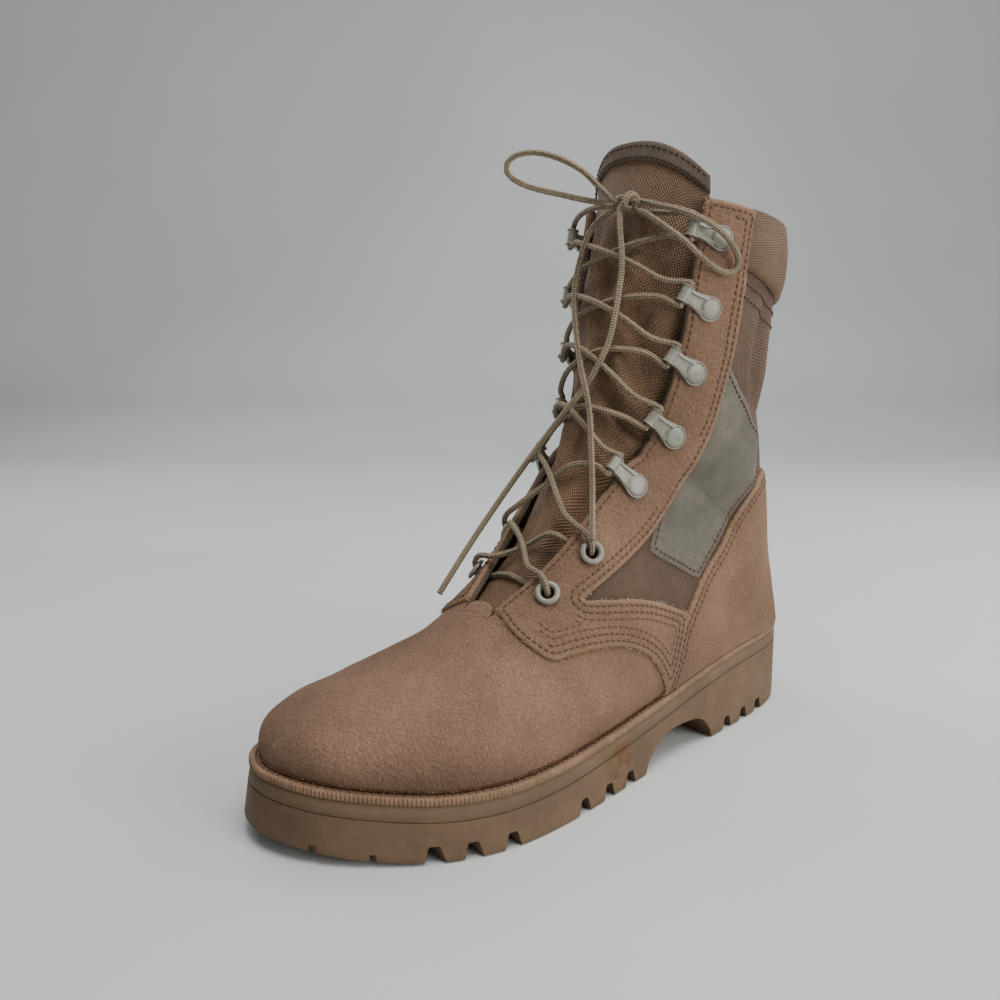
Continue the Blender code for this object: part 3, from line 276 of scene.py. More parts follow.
def flare(x):
    return SIDE_FLARE * side_row(x)[:, 2]


def feather_inset(x):
    return flare(x) + LEDGE_HEEL + (LEDGE_TOE - LEDGE_HEEL) * side_row(x)[:, 1]


def midsole_base(x):
    return rubber_top(x) - MIDSOLE_THICKNESS


def wall_inset(x, height):
    return flare(x) * (height - spring(x)) / (rubber_top(x) - spring(x))


def outline_point(turn):
    """The ground outline, once round from the heel along the outer side, for turn 0 to 2."""
    turn = np.atleast_1d(np.asarray(turn, float)) % 2
    across = np.where(turn <= 1, turn, 2 - turn)
    row = table_at(OUTLINE, across * (len(OUTLINE) - 1))
    x = SOLE_LENGTH * (1 - np.cos(np.pi * across)) / 2
    y = np.where(turn <= 1, row[:, 0], -row[:, 1])
    return np.stack([x, y * BALL_WIDTH], 1)


def inset_point(turn, inset):
    """The ground outline moved inwards by inset(x)."""
    step = 0.004
    here = outline_point(turn)
    along = outline_point(np.asarray(turn) + step) - outline_point(np.asarray(turn) - step)
    along = unit(along)
    inward = np.stack([along[:, 1], -along[:, 0]], 1)
    return here + inward * np.broadcast_to(inset(here[:, 0]), len(here))[:, None]


def feather_sides():
    count = 720
    loop = inset_point(np.arange(count) * 2 / count, feather_inset)
    heel, toe = loop[:, 0].argmin(), loop[:, 0].argmax()
    outer = loop[(heel + np.arange((toe - heel) % count + 1)) % count]
    inner = loop[(heel - np.arange((heel - toe) % count + 1)) % count]
    return outer, inner


OUTER_FEATHER, INNER_FEATHER = feather_sides()
UPPER_START = OUTER_FEATHER[0, 0]
UPPER_LENGTH = OUTER_FEATHER[-1, 0] - UPPER_START


def y_at(points, x):
    order = np.maximum.accumulate(points[:, 0])
    return np.interp(x, order, points[:, 1])


def along_upper(share):
    return UPPER_START + np.asarray(share, float) * UPPER_LENGTH


def section_rows():
    rows = [(r[0], r[1], r[3] * BALL_WIDTH, *r[4:]) for r in FOOT]
    for r in SHAFT:
        rise = 1 + r[1] * (SHAFT_HEIGHT / INSTEP_HEIGHT - 1)
        rows.append((r[0], rise, r[4] * SHAFT_WIDTH, *r[5:]))
    return np.array(rows)


SECTIONS = section_rows()
FOOT_ENDS = np.array([[r[2]] for r in FOOT])
BACK_ENDS = np.array([[0.0, 0.0]] + [[r[2], r[3]] for r in SHAFT])


def section(place):
    """Front and back end, width, half width at the end, widest depth, full depth, powers."""
    place = np.atleast_1d(np.asarray(place, float))
    front, rise, width, ridge, widest, top, low, _ = table_at(SECTIONS, place).T
    start = np.stack([along_upper(front), ridge * BALL_WIDTH, rise * INSTEP_HEIGHT], 1)
    foot = np.clip(table_at(FOOT_ENDS, place)[:, 0], 0, 1)
    x = along_upper(foot)
    outer, inner = y_at(OUTER_FEATHER, x), y_at(INNER_FEATHER, x)
    on_sole = np.stack([x, (outer + inner) / 2, sole_top(x) + GAP], 1)
    base = sole_top([UPPER_START])[0] + GAP
    above = np.maximum(place - HEEL_ROW, 0)
    back, lift = table_at(BACK_ENDS, above).T
    y = OUTER_FEATHER[0, 1] * np.maximum(0.0, 1 - above / 2)
    on_back = np.stack([along_upper(back), y, base + lift * (BACK_HEIGHT - base)], 1)
    foot_part = place < HEEL_ROW
    end = np.where(foot_part[:, None], on_sole, on_back)
    half = np.where(foot_part, (outer - inner) / 2, 0.0)
    width = np.maximum(width, half * 1.02 + TOE_STEEPNESS)
    reach = np.maximum((1 - (half / width) ** low) ** (1 / low), 1e-3)
    depth = np.where(half > 0, widest + (1 - widest) / reach, 1.0)
    pole = place == 0
    start = np.where(pole[:, None], end, start)
    width = np.where(pole, 0.0, width)
    return start, end, width, half, widest, depth, top, low


def throat(place):
    """Where the opening's edge lies, from 0 at the ridge to 1 at the widest place."""
    return table_at(SECTIONS, place)[:, 7]


def skin_point(place, turn):
    """The upper's outer face: turn is 0 at the ridge, 1 where widest and 2 at the sole or back."""
    start, end, width, half_end, widest, depth_end, top, low = section(place)
    side = np.where(turn >= 0, 1.0, -1.0)
    turn = np.minimum(np.abs(turn), 2.0)
    angle = np.minimum(turn, 1) * np.pi / 2
    depth_top = widest * (1 - np.maximum(np.cos(angle), 0) ** (2 / top))
    half_top = width * np.sin(angle) ** (2 / top)
    share = (1 - widest) / (depth_end - widest)
    sweep = (np.maximum(turn, 1) - 1) * np.arcsin(np.minimum(share ** (low / 2), 1.0))
    depth_low = widest + (depth_end - widest) * np.sin(sweep) ** (2 / low)
    half_low = width * np.maximum(np.cos(sweep), 0) ** (2 / low)
    at_end = turn >= 2
    depth_low = np.where(at_end, 1.0, depth_low)
    half_low = np.where(at_end, half_end, half_low)
    depth = np.where(turn <= 1, depth_top, depth_low)
    half = np.where(turn <= 1, half_top, half_low)
    point = start + (end - start) * depth[:, None]
    point[:, 1] += side * half
    return point


def skin_normal(place, turn):
    step = 0.02
    side = np.where(turn >= 0, 1.0, -1.0)
    size = np.minimum(np.abs(turn), 2.0)
    on_ridge = size == 0
    on_plane = on_ridge | ((size == 2) & (place >= HEEL_ROW))
    low_place, high_place = np.maximum(place - step, 0.01), np.minimum(place + step, TONGUE_ROW)
    low_turn, high_turn = np.maximum(size - step, 0.0), np.minimum(size + step, 2.0)
    across = skin_point(place, side * high_turn) - skin_point(place, side * low_turn)
    flat = np.stack([np.zeros_like(side), np.where(on_ridge, 1.0, -side), np.zeros_like(side)], 1)
    across = np.where(on_plane[:, None], flat, across)
    along = skin_point(high_place, side * size) - skin_point(low_place, side * size)
    normal = np.cross(across, along) * side[:, None]
    normal[on_plane, 1] = 0
    normal /= np.maximum(np.linalg.norm(normal, axis=1), 1e-12)[:, None]
    normal[place == 0] = (1, 0, 0)
    return normal


def skin(place, turn, offset=0.0):
    """Points off the upper's face in the boot's frame, kept above the sole."""
    place = np.atleast_1d(np.asarray(place, float))
    turn = np.broadcast_to(np.asarray(turn, float), place.shape)
    offset = np.broadcast_to(np.asarray(offset, float), place.shape)
    point = skin_point(place, turn) + skin_normal(place, turn) * offset[:, None]
    point[:, 2] = np.maximum(point[:, 2], sole_top(point[:, 0]) + 2 * GAP)
    point[:, 0] -= HEEL_SETBACK
    return point


def tongue_edge(place):
    above = np.maximum(0.0, (place - TONGUE_NARROW_ROW) / (TONGUE_ROW - TONGUE_NARROW_ROW))
    return np.minimum(throat(place) + TONGUE_LAP - TONGUE_NARROWING * above, TONGUE_WIDEST)


def tongue_key(up, across):
    """A place on the tongue, up from 0 to 1 and across from -1 to 1."""
    top = TONGUE_SHOULDER + (TONGUE_ROW - TONGUE_SHOULDER) * (1 - np.abs(across) ** 2.6)
    place = TONGUE_START + (top - TONGUE_START) * up
    return place, tongue_edge(place) * across


def tongue_depth(place, turn):
    open_share = np.maximum(0.0, 1 - (turn / tongue_edge(place)) ** 2)
    opened = np.clip((place - TONGUE_START) / 3.0, 0.0, 1.0)
    return WALL + TONGUE_GAP + TONGUE_DIP * open_share * opened


# ---- meshes ----


def link(made):
    bpy.context.scene.collection.objects.link(made)
    return made


def mesh_object(name, points, faces, surface, uv=None, weld=2e-6):
    """An object from points and faces, welded where points meet, with uv in metres per point."""
    mesh = bpy.data.meshes.new(name)
    mesh.from_pydata([tuple(p) for p in points], [], [tuple(int(i) for i in f) for f in faces])
    if uv is not None:
        layer = mesh.uv_layers.new(name="surface")
        corner = np.empty(len(mesh.loops), int)
        mesh.loops.foreach_get("vertex_index", corner)
        layer.data.foreach_set("uv", np.asarray(uv, float)[corner].astype(np.float32).ravel())
    if weld:
        bm = bmesh.new()
        bm.from_mesh(mesh)
        bmesh.ops.remove_doubles(bm, verts=bm.verts, dist=weld)
        bmesh.ops.recalc_face_normals(bm, faces=bm.faces)
        bm.to_mesh(mesh)
        bm.free()
    mesh.polygons.foreach_set("use_smooth", np.full(len(mesh.polygons), True))
    mesh.materials.append(surface)
    mesh.update()
    return link(bpy.data.objects.new(name, mesh))


def sharpen(made, degrees=40):
    """Keeps edges crisp where faces meet at more than an angle."""
    bm = bmesh.new()
    bm.from_mesh(made.data)
    limit = math.radians(degrees)
    for edge in bm.edges:
        if len(edge.link_faces) == 2 and edge.calc_face_angle(0.0) > limit:
            edge.smooth = False
    bm.to_mesh(made.data)
    bm.free()
    return made


def grid_quads(rows, columns, around=False):
    """Faces of a grid of points in row order."""
    i, j = np.meshgrid(np.arange(rows - 1), np.arange(columns - (not around)), indexing="ij")
    k = (j + 1) % columns
    a, b = i * columns + j, i * columns + k
    c, d = (i + 1) * columns + k, (i + 1) * columns + j
    return np.stack([a, b, c, d], -1).reshape(-1, 4)


def grid_of(rows, columns):
    """Row and column values of every point of a grid."""
    return np.repeat(rows, len(columns)), np.tile(columns, len(rows))


def joined(parts):
    """Points, faces and uv of several meshes as one."""
    points, faces, uv = [], [], []
    for more_points, more_faces, more_uv in parts:
        start = len(points)
        points += np.asarray(more_points).tolist()
        faces += [[start + i for i in face] for face in more_faces]
        uv += np.asarray(more_uv).tolist()
    return points, faces, uv


def with_back(outer, inner, faces):
    """A wall: outer points, inner points turned round, and a rim along the open edges."""
    count = len(outer)
    points = np.vstack([outer, inner])
    faces = [tuple(int(i) for i in f) for f in faces]
    edges = {}
    for face in faces:
        for a, b in zip(face, face[1:] + face[:1]):
            edges[(a, b)] = edges.get((a, b), 0) + 1
    rim = [(b, a, a + count, b + count) for a, b in edges if (b, a) not in edges]
    back = [tuple(i + count for i in reversed(face)) for face in faces]
    return points, faces + back + rim


def arc_lengths(points):
    """How far along a line of points each of them lies."""
    steps = np.linalg.norm(np.diff(points, axis=0), axis=1)
    return np.concatenate([[0.0], np.cumsum(steps)])


def smooth_route(points, steps):
    places = np.linspace(0, len(points) - 1, (len(points) - 1) * steps + 1)
    return table_at(points, places)


def even_route(points, pitch):
    """Points at an even spacing along a line of points."""
    points = np.asarray(points, float)
    gone = arc_lengths(points)
    count = max(2, int(round(gone[-1] / pitch)) + 1)
    at = np.linspace(0, gone[-1], count)
    return np.stack([np.interp(at, gone, points[:, k]) for k in range(3)], 1)


def frames_along(route):
    """Tangent and two cross directions at each point, turned as little as possible."""
    tangent = unit(np.gradient(route, axis=0))
    first = Vector((0, 0, 1)).cross(Vector(tangent[0]))
    if first.length < 1e-4:
        first = Vector((1, 0, 0))
    across = [first.normalized()]
    for before, after in zip(tangent, tangent[1:]):
        turn = Vector(before).rotation_difference(Vector(after))
        carried = turn @ across[-1]
        flat = carried - Vector(after) * carried.dot(Vector(after))
        across.append(flat.normalized())
    across = np.array([tuple(a) for a in across])
    return tangent, across, np.cross(tangent, across)


def hash_noise(points, scale, seed=0):
    """Smooth value noise from -1 to 1, without a library."""
    place = np.asarray(points, float) / scale + seed * 17.31
    cell = np.floor(place).astype(np.int64)
    part = place - cell
    part = part * part * (3 - 2 * part)
    total = np.zeros(len(place))
    for dx in (0, 1):
        for dy in (0, 1):
            for dz in (0, 1):
                key = (cell[:, 0] + dx) * 73856093 ^ (cell[:, 1] + dy) * 19349663
                key = (key ^ (cell[:, 2] + dz) * 83492791) & 0xFFFFFF
                value = np.abs(np.sin(key * 12.9898 + 78.233) * 43758.5453) % 1.0
                weight = np.where(dx, part[:, 0], 1 - part[:, 0])
                weight = weight * np.where(dy, part[:, 1], 1 - part[:, 1])
                weight = weight * np.where(dz, part[:, 2], 1 - part[:, 2])
                total += value * weight
    return total * 2 - 1


# ---- outlines on the skin ----


def rounded(corners, steps=6):
    """A closed side outline in metres, each corner rounded by its radius in millimetres."""
    points = np.array([[along_upper(a), b * SHAFT_HEIGHT] for a, b, _ in corners])
    out = []
    for i, (_, _, radius) in enumerate(corners):
        before, here, after = points[i - 1], points[i], points[(i + 1) % len(points)]
        back, ahead = before - here, after - here
        cut = min(radius / 1000, np.linalg.norm(back) * 0.49, np.linalg.norm(ahead) * 0.49)
        start = here + back / np.linalg.norm(back) * cut
        end = here + ahead / np.linalg.norm(ahead) * cut
        for t in np.linspace(0, 1, steps + 1):
            out.append((1 - t) ** 2 * start + 2 * t * (1 - t) * here + t * t * end)
    return np.array(out)


def inside_distance(x, z, outline):
    """How far inside a closed outline points lie, below zero when outside."""
    points = np.stack([x, z], 1)
    nearest = np.full(len(points), np.inf)
    inside = np.zeros(len(points), bool)
    for a, b in zip(outline, np.roll(outline, -1, axis=0)):
        edge = b - a
        along = np.clip(((points - a) @ edge) / max(edge @ edge, 1e-16), 0, 1)
        away = points - (a + along[:, None] * edge)
        nearest = np.minimum(nearest, np.einsum("ij,ij->i", away, away))
        crosses = (a[1] > points[:, 1]) != (b[1] > points[:, 1])
        rise = b[1] - a[1] if abs(b[1] - a[1]) > 1e-12 else 1e-12
        at = a[0] + (points[:, 1] - a[1]) / rise * edge[0]
        inside ^= crosses & (points[:, 0] < at)
    distance = np.sqrt(nearest)
    return np.where(inside, distance, -distance)


class Patch:
    """A piece of the skin cut to an outline: places, turns, triangles and distance to its edge."""

    def __init__(self, rows, turns, side, outline, step_columns):
        place, share = grid_of(rows, np.linspace(0, 1, step_columns + 1))
        start, end = turns(place)
        turn = side * (start + (end - start) * share)
        point = skin_point(place, turn)
        field = inside_distance(point[:, 0], point[:, 2], outline)
        quads = grid_quads(len(rows), step_columns + 1)
        if side < 0:
            quads = quads[:, ::-1]
        self.place, self.turn = place, turn
        self.cut(quads, field)
        self.measure()

    def cut(self, quads, field):
        """Triangles where the field is above zero, new corners set where it crosses zero."""
        place, turn = list(self.place), list(self.turn)
        made = {}

        def crossing(a, b):
            key = (min(a, b), max(a, b))
            if key not in made:
                t = field[a] / (field[a] - field[b])
                made[key] = len(place)
                place.append(place[a] + (place[b] - place[a]) * t)
                turn.append(turn[a] + (turn[b] - turn[a]) * t)
            return made[key]

        faces = []
        for quad in quads:
            for tri in ((quad[0], quad[1], quad[2]), (quad[0], quad[2], quad[3])):
                kept = [i for i in tri if field[i] > 0]
                if len(kept) == 3:
                    faces.append(tri)
                elif kept:
                    ring = []
                    for a, b in zip(tri, tri[1:] + tri[:1]):
                        if field[a] > 0:
                            ring.append(a)
                        if (field[a] > 0) != (field[b] > 0):
                            ring.append(crossing(a, b))
                    for k in range(1, len(ring) - 1):
                        faces.append((ring[0], ring[k], ring[k + 1]))
        used = sorted({i for face in faces for i in face})
        number = {old: new for new, old in enumerate(used)}
        self.place = np.array([place[i] for i in used])
        self.turn = np.array([turn[i] for i in used])
        self.faces = [tuple(number[i] for i in face) for face in faces]

    def measure(self):
        """Distance of every point from the piece's edge, along straight lines in space."""
        edges = set()
        for face in self.faces:
            for a, b in zip(face, face[1:] + face[:1]):
                edges.add((a, b))
        rim = [(a, b) for a, b in edges if (b, a) not in edges]
        closed = lambda i: abs(abs(self.turn[i]) - 2) < 1e-6
        free = [(a, b) for a, b in rim if not (closed(a) and closed(b))]
        self.rim = free
        self.points = skin(self.place, self.turn)
        tree = kdtree.KDTree(len(free) * 3)
        for n, (a, b) in enumerate(free):
            for m, t in enumerate((0.0, 0.33, 0.67)):
                tree.insert(self.points[a] + (self.points[b] - self.points[a]) * t, n * 3 + m)
        tree.balance()
        self.edge = np.array([tree.find(p)[2] for p in self.points])

    def lines(self, distance):
        """Chains of (place, turn) along the line at a distance from the edge."""
        field = self.edge - distance
        joins = {}
        spots = {}
        for face in self.faces:
            ends = []
            for a, b in zip(face, face[1:] + face[:1]):
                if (field[a] > 0) != (field[b] > 0):
                    key = (min(a, b), max(a, b))
                    t = field[a] / (field[a] - field[b])
                    spots[key] = (
                        self.place[a] + (self.place[b] - self.place[a]) * t,
                        self.turn[a] + (self.turn[b] - self.turn[a]) * t,
                    )
                    ends.append(key)
            if len(ends) == 2:
                joins.setdefault(ends[0], []).append(ends[1])
                joins.setdefault(ends[1], []).append(ends[0])
        chains = []
        left = set(joins)
        while left:
            starts = [k for k in left if len(joins[k]) == 1]
            here = min(starts) if starts else min(left)
            chain = [here]
            left.discard(here)
            while True:
                ahead = [k for k in joins[here] if k in left]
                if not ahead:
                    break
                here = ahead[0]
                left.discard(here)
                chain.append(here)
            if len(chain) > 4:
                chains.append(np.array([spots[k] for k in chain]))
        return chains


def throat_to_end(place):
    """Turns from the opening's edge to the sole or back."""
    return throat(place), np.full(len(place), 2.0)


UV_ROWS, UV_COLUMNS = 250, 80


def surface_uv(place, turn):
    """Distances over the skin in metres: round the section and along the boot."""
    rows, girth = np.linspace(0, TONGUE_ROW, UV_ROWS + 1), np.linspace(0, 2, UV_COLUMNS + 1)
    widest = UV_COLUMNS // 2
    points = skin_point(*grid_of(rows, girth)).reshape(len(rows), len(girth), 3)
    round_steps = np.linalg.norm(np.diff(points, axis=1), axis=2)
    rounds = np.concatenate([np.zeros((len(rows), 1)), np.cumsum(round_steps, 1)], 1)
    rounds -= rounds[:, [widest]]
    along = arc_lengths(points[:, widest])
    at = np.clip(place / TONGUE_ROW * UV_ROWS, 0, UV_ROWS - 0.001)
    i = at.astype(int)
    to = np.clip(np.abs(turn) / 2 * UV_COLUMNS, 0, UV_COLUMNS - 0.001)
    j = to.astype(int)
    f, g = at - i, to - j
    u = (rounds[i, j] * (1 - f) + rounds[i + 1, j] * f) * (1 - g)
    u += (rounds[i, j + 1] * (1 - f) + rounds[i + 1, j + 1] * f) * g
    return np.stack([u, np.interp(place, rows, along)], 1)


# ---- materials ----


def linear(code):
    """A hex colour as Blender's linear values."""
    parts = [int(code[i : i + 2], 16) / 255 for i in (1, 3, 5)]
    return tuple(p / 12.92 if p <= 0.04045 else ((p + 0.055) / 1.055) ** 2.4 for p in parts)


def add(tree, kind, into=None, stops=None, **settings):
    """One node with its settings, colour stops and values or links into its sockets."""
    made = tree.nodes.new(f"ShaderNode{kind}")
    for key, value in settings.items():
        setattr(made, key, value)
    if stops:
        ramp = made.color_ramp
        while len(ramp.elements) < len(stops):
            ramp.elements.new(0.5)
        for element, (at, colour) in zip(ramp.elements, stops):
            element.position = at
            element.color = (*colour, 1.0)
    for key, value in (into or {}).items():
        if isinstance(value, bpy.types.NodeSocket):
            tree.links.new(value, made.inputs[key])
        else:
            made.inputs[key].default_value = value
    return made


def shades(tree, place, size, colours, detail=3.0, rough=0.6):
    """Soft patches between colours, as wide as size in metres."""
    noise = add(tree, "TexNoise", {"Vector": place, "Scale": 1 / size, "Detail": detail,
                                   "Roughness": rough})
    count = len(colours)
    stops = [(0.3 + 0.4 * i / (count - 1), c) for i, c in enumerate(colours)]
    return add(tree, "ValToRGB", {"Fac": noise.outputs["Fac"]}, stops).outputs["Color"]


def own_colour(name):
    return getattr(bpy.context.scene.boot_colours, name)


def toned(name, low=0.80, high=1.22):
    """Three shades round one of the boot's colours."""
    return [tuple(c * k for c in own_colour(name)) for k in (low, 1.0, high)]


def tinted(tree, base, other, share=1.0, kind="MULTIPLY"):
    mix = add(tree, "MixRGB", {"Fac": share, "Color1": base, "Color2": other}, blend_type=kind)
    return mix.outputs["Color"]


def between(tree, value, low, high, start, end):
    """A value drawn from low to high, brought to start to end and held there."""
    return add(tree, "MapRange", {"Value": value, "From Min": low, "From Max": high,
                                  "To Min": start, "To Max": end}).outputs["Result"]


def grain(tree, place, size, low, high, detail=2.0):
    """A fine noise drawn between two numbers."""
    noise = add(tree, "TexNoise", {"Vector": place, "Scale": 1 / size, "Detail": detail})
    return between(tree, noise.outputs["Fac"], 0.3, 0.7, low, high)


def maths(tree, operation, *values):
    return add(tree, "Math", dict(enumerate(values)), operation=operation).outputs[0]


def bumped(tree, height, strength, distance, under=None):
    """The normal of a height, laid over another bump's normal where one is given."""
    into = {"Height": height, "Strength": strength, "Distance": distance}
    if under is not None:
        into["Normal"] = under
    return add(tree, "Bump", into).outputs["Normal"]


def suede_leather(tree):
    """Rough-out cowhide: a brushed nap that scatters light, so it is matt with paler rims."""
    place = add(tree, "TexCoord").outputs["Object"]
    base = shades(tree, place, 0.045, toned("suede"), 2.0, 0.5)
    worn = grain(tree, place, 0.013, 0.95, 1.05, 3.0)
    strokes = add(tree, "Mapping", {"Vector": place, "Rotation": (0.3, 0.5, 0.6),
                                    "Scale": (1.0, 0.75, 0.9)}).outputs["Vector"]
    brushed = grain(tree, strokes, 0.0040, 0.96, 1.04, 3.0)
    # Nap tufts are about 0.3 mm; drawn at 0.9 mm so that they show
    nap = grain(tree, strokes, 0.0009, 0.68, 1.22, 3.0)
    edge = add(tree, "Attribute", attribute_name="wear").outputs["Fac"]
    colour = tinted(tree, tinted(tree, base, worn), brushed)
    colour = tinted(tree, colour, nap, 0.85)
    colour = tinted(tree, colour, (*linear("#b39678"), 1.0), edge, "MIX")
    pits = add(tree, "TexNoise", {"Vector": strokes, "Scale": 1 / 0.0015, "Detail": 4.0,
                                  "Roughness": 0.7}).outputs["Fac"]
    normal = bumped(tree, nap, 0.8, 0.0005, bumped(tree, pits, 0.9, 0.0013))
    return add(tree, "BsdfPrincipled", {
        "Base Color": colour, "Roughness": 0.95, "Specular IOR Level": 0.12,
        "Sheen Weight": 0.16, "Sheen Roughness": 0.5, "Sheen Tint": (*linear("#cfb296"), 1.0),
        "Normal": normal})


def cut_suede(tree):
    """The raw cut edge of the leather at the welt, dark and hairy."""
    place = add(tree, "TexCoord").outputs["Object"]
    base = shades(tree, place, 0.004, toned("cut_edge", 0.55, 1.75), 4.0)
    nap = grain(tree, place, 0.0008, 0.6, 1.3, 3.0)
    return add(tree, "BsdfPrincipled", {
        "Base Color": tinted(tree, base, nap), "Roughness": 0.95, "Specular IOR Level": 0.1,
        "Normal": bumped(tree, nap, 1.0, 0.0006)})


def weave(tree, across, along, pitch):
    """Nubs of a plain weave from two lengths in metres: a height from -1 to 1."""
    waves = [maths(tree, "SINE", maths(tree, "MULTIPLY", length, 2 * math.pi / pitch))
             for length in (across, along)]
    return maths(tree, "MULTIPLY", *waves)


def cloth(tree, colour, pitch, sheen, depth, lean, rough):
    """Woven nylon: yarns of a pitch and depth in metres, lying at a lean over the surface, with
    painted light on their tops and painted shade between them.
    """
    place = add(tree, "TexCoord").outputs
    turned = add(tree, "Mapping", {"Vector": place["UV"], "Rotation": (0.0, 0.0, lean)})
    parts = add(tree, "SeparateXYZ", {"Vector": turned.outputs["Vector"]}).outputs
    wobble = add(tree, "TexNoise", {"Vector": place["Object"], "Scale": 90.0}).outputs["Fac"]
    across = maths(tree, "ADD", parts["X"], maths(tree, "MULTIPLY", wobble, pitch * 1.5))
    nub = weave(tree, across, parts["Y"], pitch)
    # Painted light on the yarns' tops and painted shade in the gaps between them, drawn from the
    # weave's height
    lit = between(tree, nub, -1.0, 1.0, 0.64, 1.34)
    woven = tinted(tree, shades(tree, place["Object"], 0.05, toned(colour), 2.0), lit)
    dirt = grain(tree, place["Object"], 0.006, 0.86, 1.06, 4.0)
    return add(tree, "BsdfPrincipled", {
        "Base Color": tinted(tree, woven, dirt), "Roughness": rough, "Specular IOR Level": 0.35,
        "Sheen Weight": sheen, "Sheen Roughness": 0.35, "Sheen Tint": (*linear("#c99a78"), 1.0),
        "Normal": bumped(tree, nub, 1.0, depth)})


def sole_rubber(tree, name):
    """Moulded polyurethane, matt, with faint level lines from the mould and scuffed dirt."""
    place = add(tree, "TexCoord").outputs["Object"]
    base = shades(tree, place, 0.035, toned(name), 5.0, 0.65)
    level = add(tree, "Mapping", {"Vector": place, "Scale": (1.0, 1.0, 14.0)}).outputs["Vector"]
    streaks = grain(tree, level, 0.021, 0.95, 1.03, 3.0)
    scuffs = grain(tree, place, 0.0042, 0.92, 1.05, 6.0)
    colour = tinted(tree, tinted(tree, base, streaks), scuffs)
    away = add(tree, "VectorMath", {0: place, 1: STAIN}, operation="DISTANCE").outputs["Value"]
    ragged = maths(tree, "ADD", away, grain(tree, place, 0.007, -0.010, 0.012, 5.0))
    stain = between(tree, ragged, 0.012, 0.004, 0.0, 0.7)
    colour = tinted(tree, colour, (*linear("#5f3a1c"), 1.0), stain, "MIX")
    normal = bumped(tree, scuffs, 0.5, 0.0005, bumped(tree, streaks, 0.3, 0.0003))
    return add(tree, "BsdfPrincipled", {
        "Base Color": colour, "Roughness": 0.74, "Specular IOR Level": 0.35, "Normal": normal})


def welt_strip(tree):
    """Ribbed strip, pinker and paler than the sole."""
    place = add(tree, "TexCoord").outputs["Object"]
    base = shades(tree, place, 0.012, toned("welt"), 4.0)
    dirt = grain(tree, place, 0.002, 0.8, 1.08, 4.0)
    return add(tree, "BsdfPrincipled", {
        "Base Color": tinted(tree, base, dirt), "Roughness": 0.8, "Specular IOR Level": 0.3,
        "Normal": bumped(tree, dirt, 0.4, 0.0004)})


def hook_enamel(tree):
    """Baked enamel on brass: smooth, half gloss, a grey sage with small worn spots."""
    place = add(tree, "TexCoord").outputs["Object"]
    base = shades(tree, place, 0.004, toned("enamel"))
    specks = grain(tree, place, 0.0009, 0.9, 1.05, 3.0)
    return add(tree, "BsdfPrincipled", {
        "Base Color": tinted(tree, base, specks), "Roughness": 0.36, "Coat Weight": 0.25,
        "Coat Roughness": 0.3, "Normal": bumped(tree, specks, 0.12, 0.0002)})


def lace_braid(tree):
    """Braided polyester: two sets of strands that cross, with painted shade in the gaps between
    them and painted light on the strands.
    """
    place = add(tree, "TexCoord").outputs
    parts = add(tree, "SeparateXYZ", {"Vector": place["UV"]}).outputs
    leans = [maths(tree, kind, parts["X"], parts["Y"]) for kind in ("ADD", "SUBTRACT")]
    # Strands are about 0.5 mm; drawn at 1.2 mm so that the braid shows
    nub = weave(tree, *leans, 0.0024)
    # Painted light on the strands and painted shade in the gaps between them, drawn from the
    # braid's height
    lit = between(tree, nub, -0.8, 0.8, 0.45, 1.28)
    base = shades(tree, place["Object"], 0.02, toned("lace"))
    return add(tree, "BsdfPrincipled", {
        "Base Color": tinted(tree, base, lit), "Roughness": 0.7, "Sheen Weight": 0.15,
        "Normal": bumped(tree, nub, 0.9, 0.0004)})


def thread(tree, name):
    """Bonded nylon thread with a slight gleam."""
    twist = grain(tree, add(tree, "TexCoord").outputs["Object"], 0.0006, 0.75, 1.15, 1.0)
    colour = tinted(tree, (*own_colour(name), 1.0), twist)
    return add(tree, "BsdfPrincipled", {"Base Color": colour, "Roughness": 0.6})


def studio_floor(tree):
    """A matt pale sweep with hardly any pattern."""
    place = add(tree, "TexCoord").outputs["Object"]
    colour = shades(tree, place, 0.6, [linear("#c2c5c5"), linear("#cccfcf")])
    return add(tree, "BsdfPrincipled", {"Base Color": colour, "Roughness": 0.85})


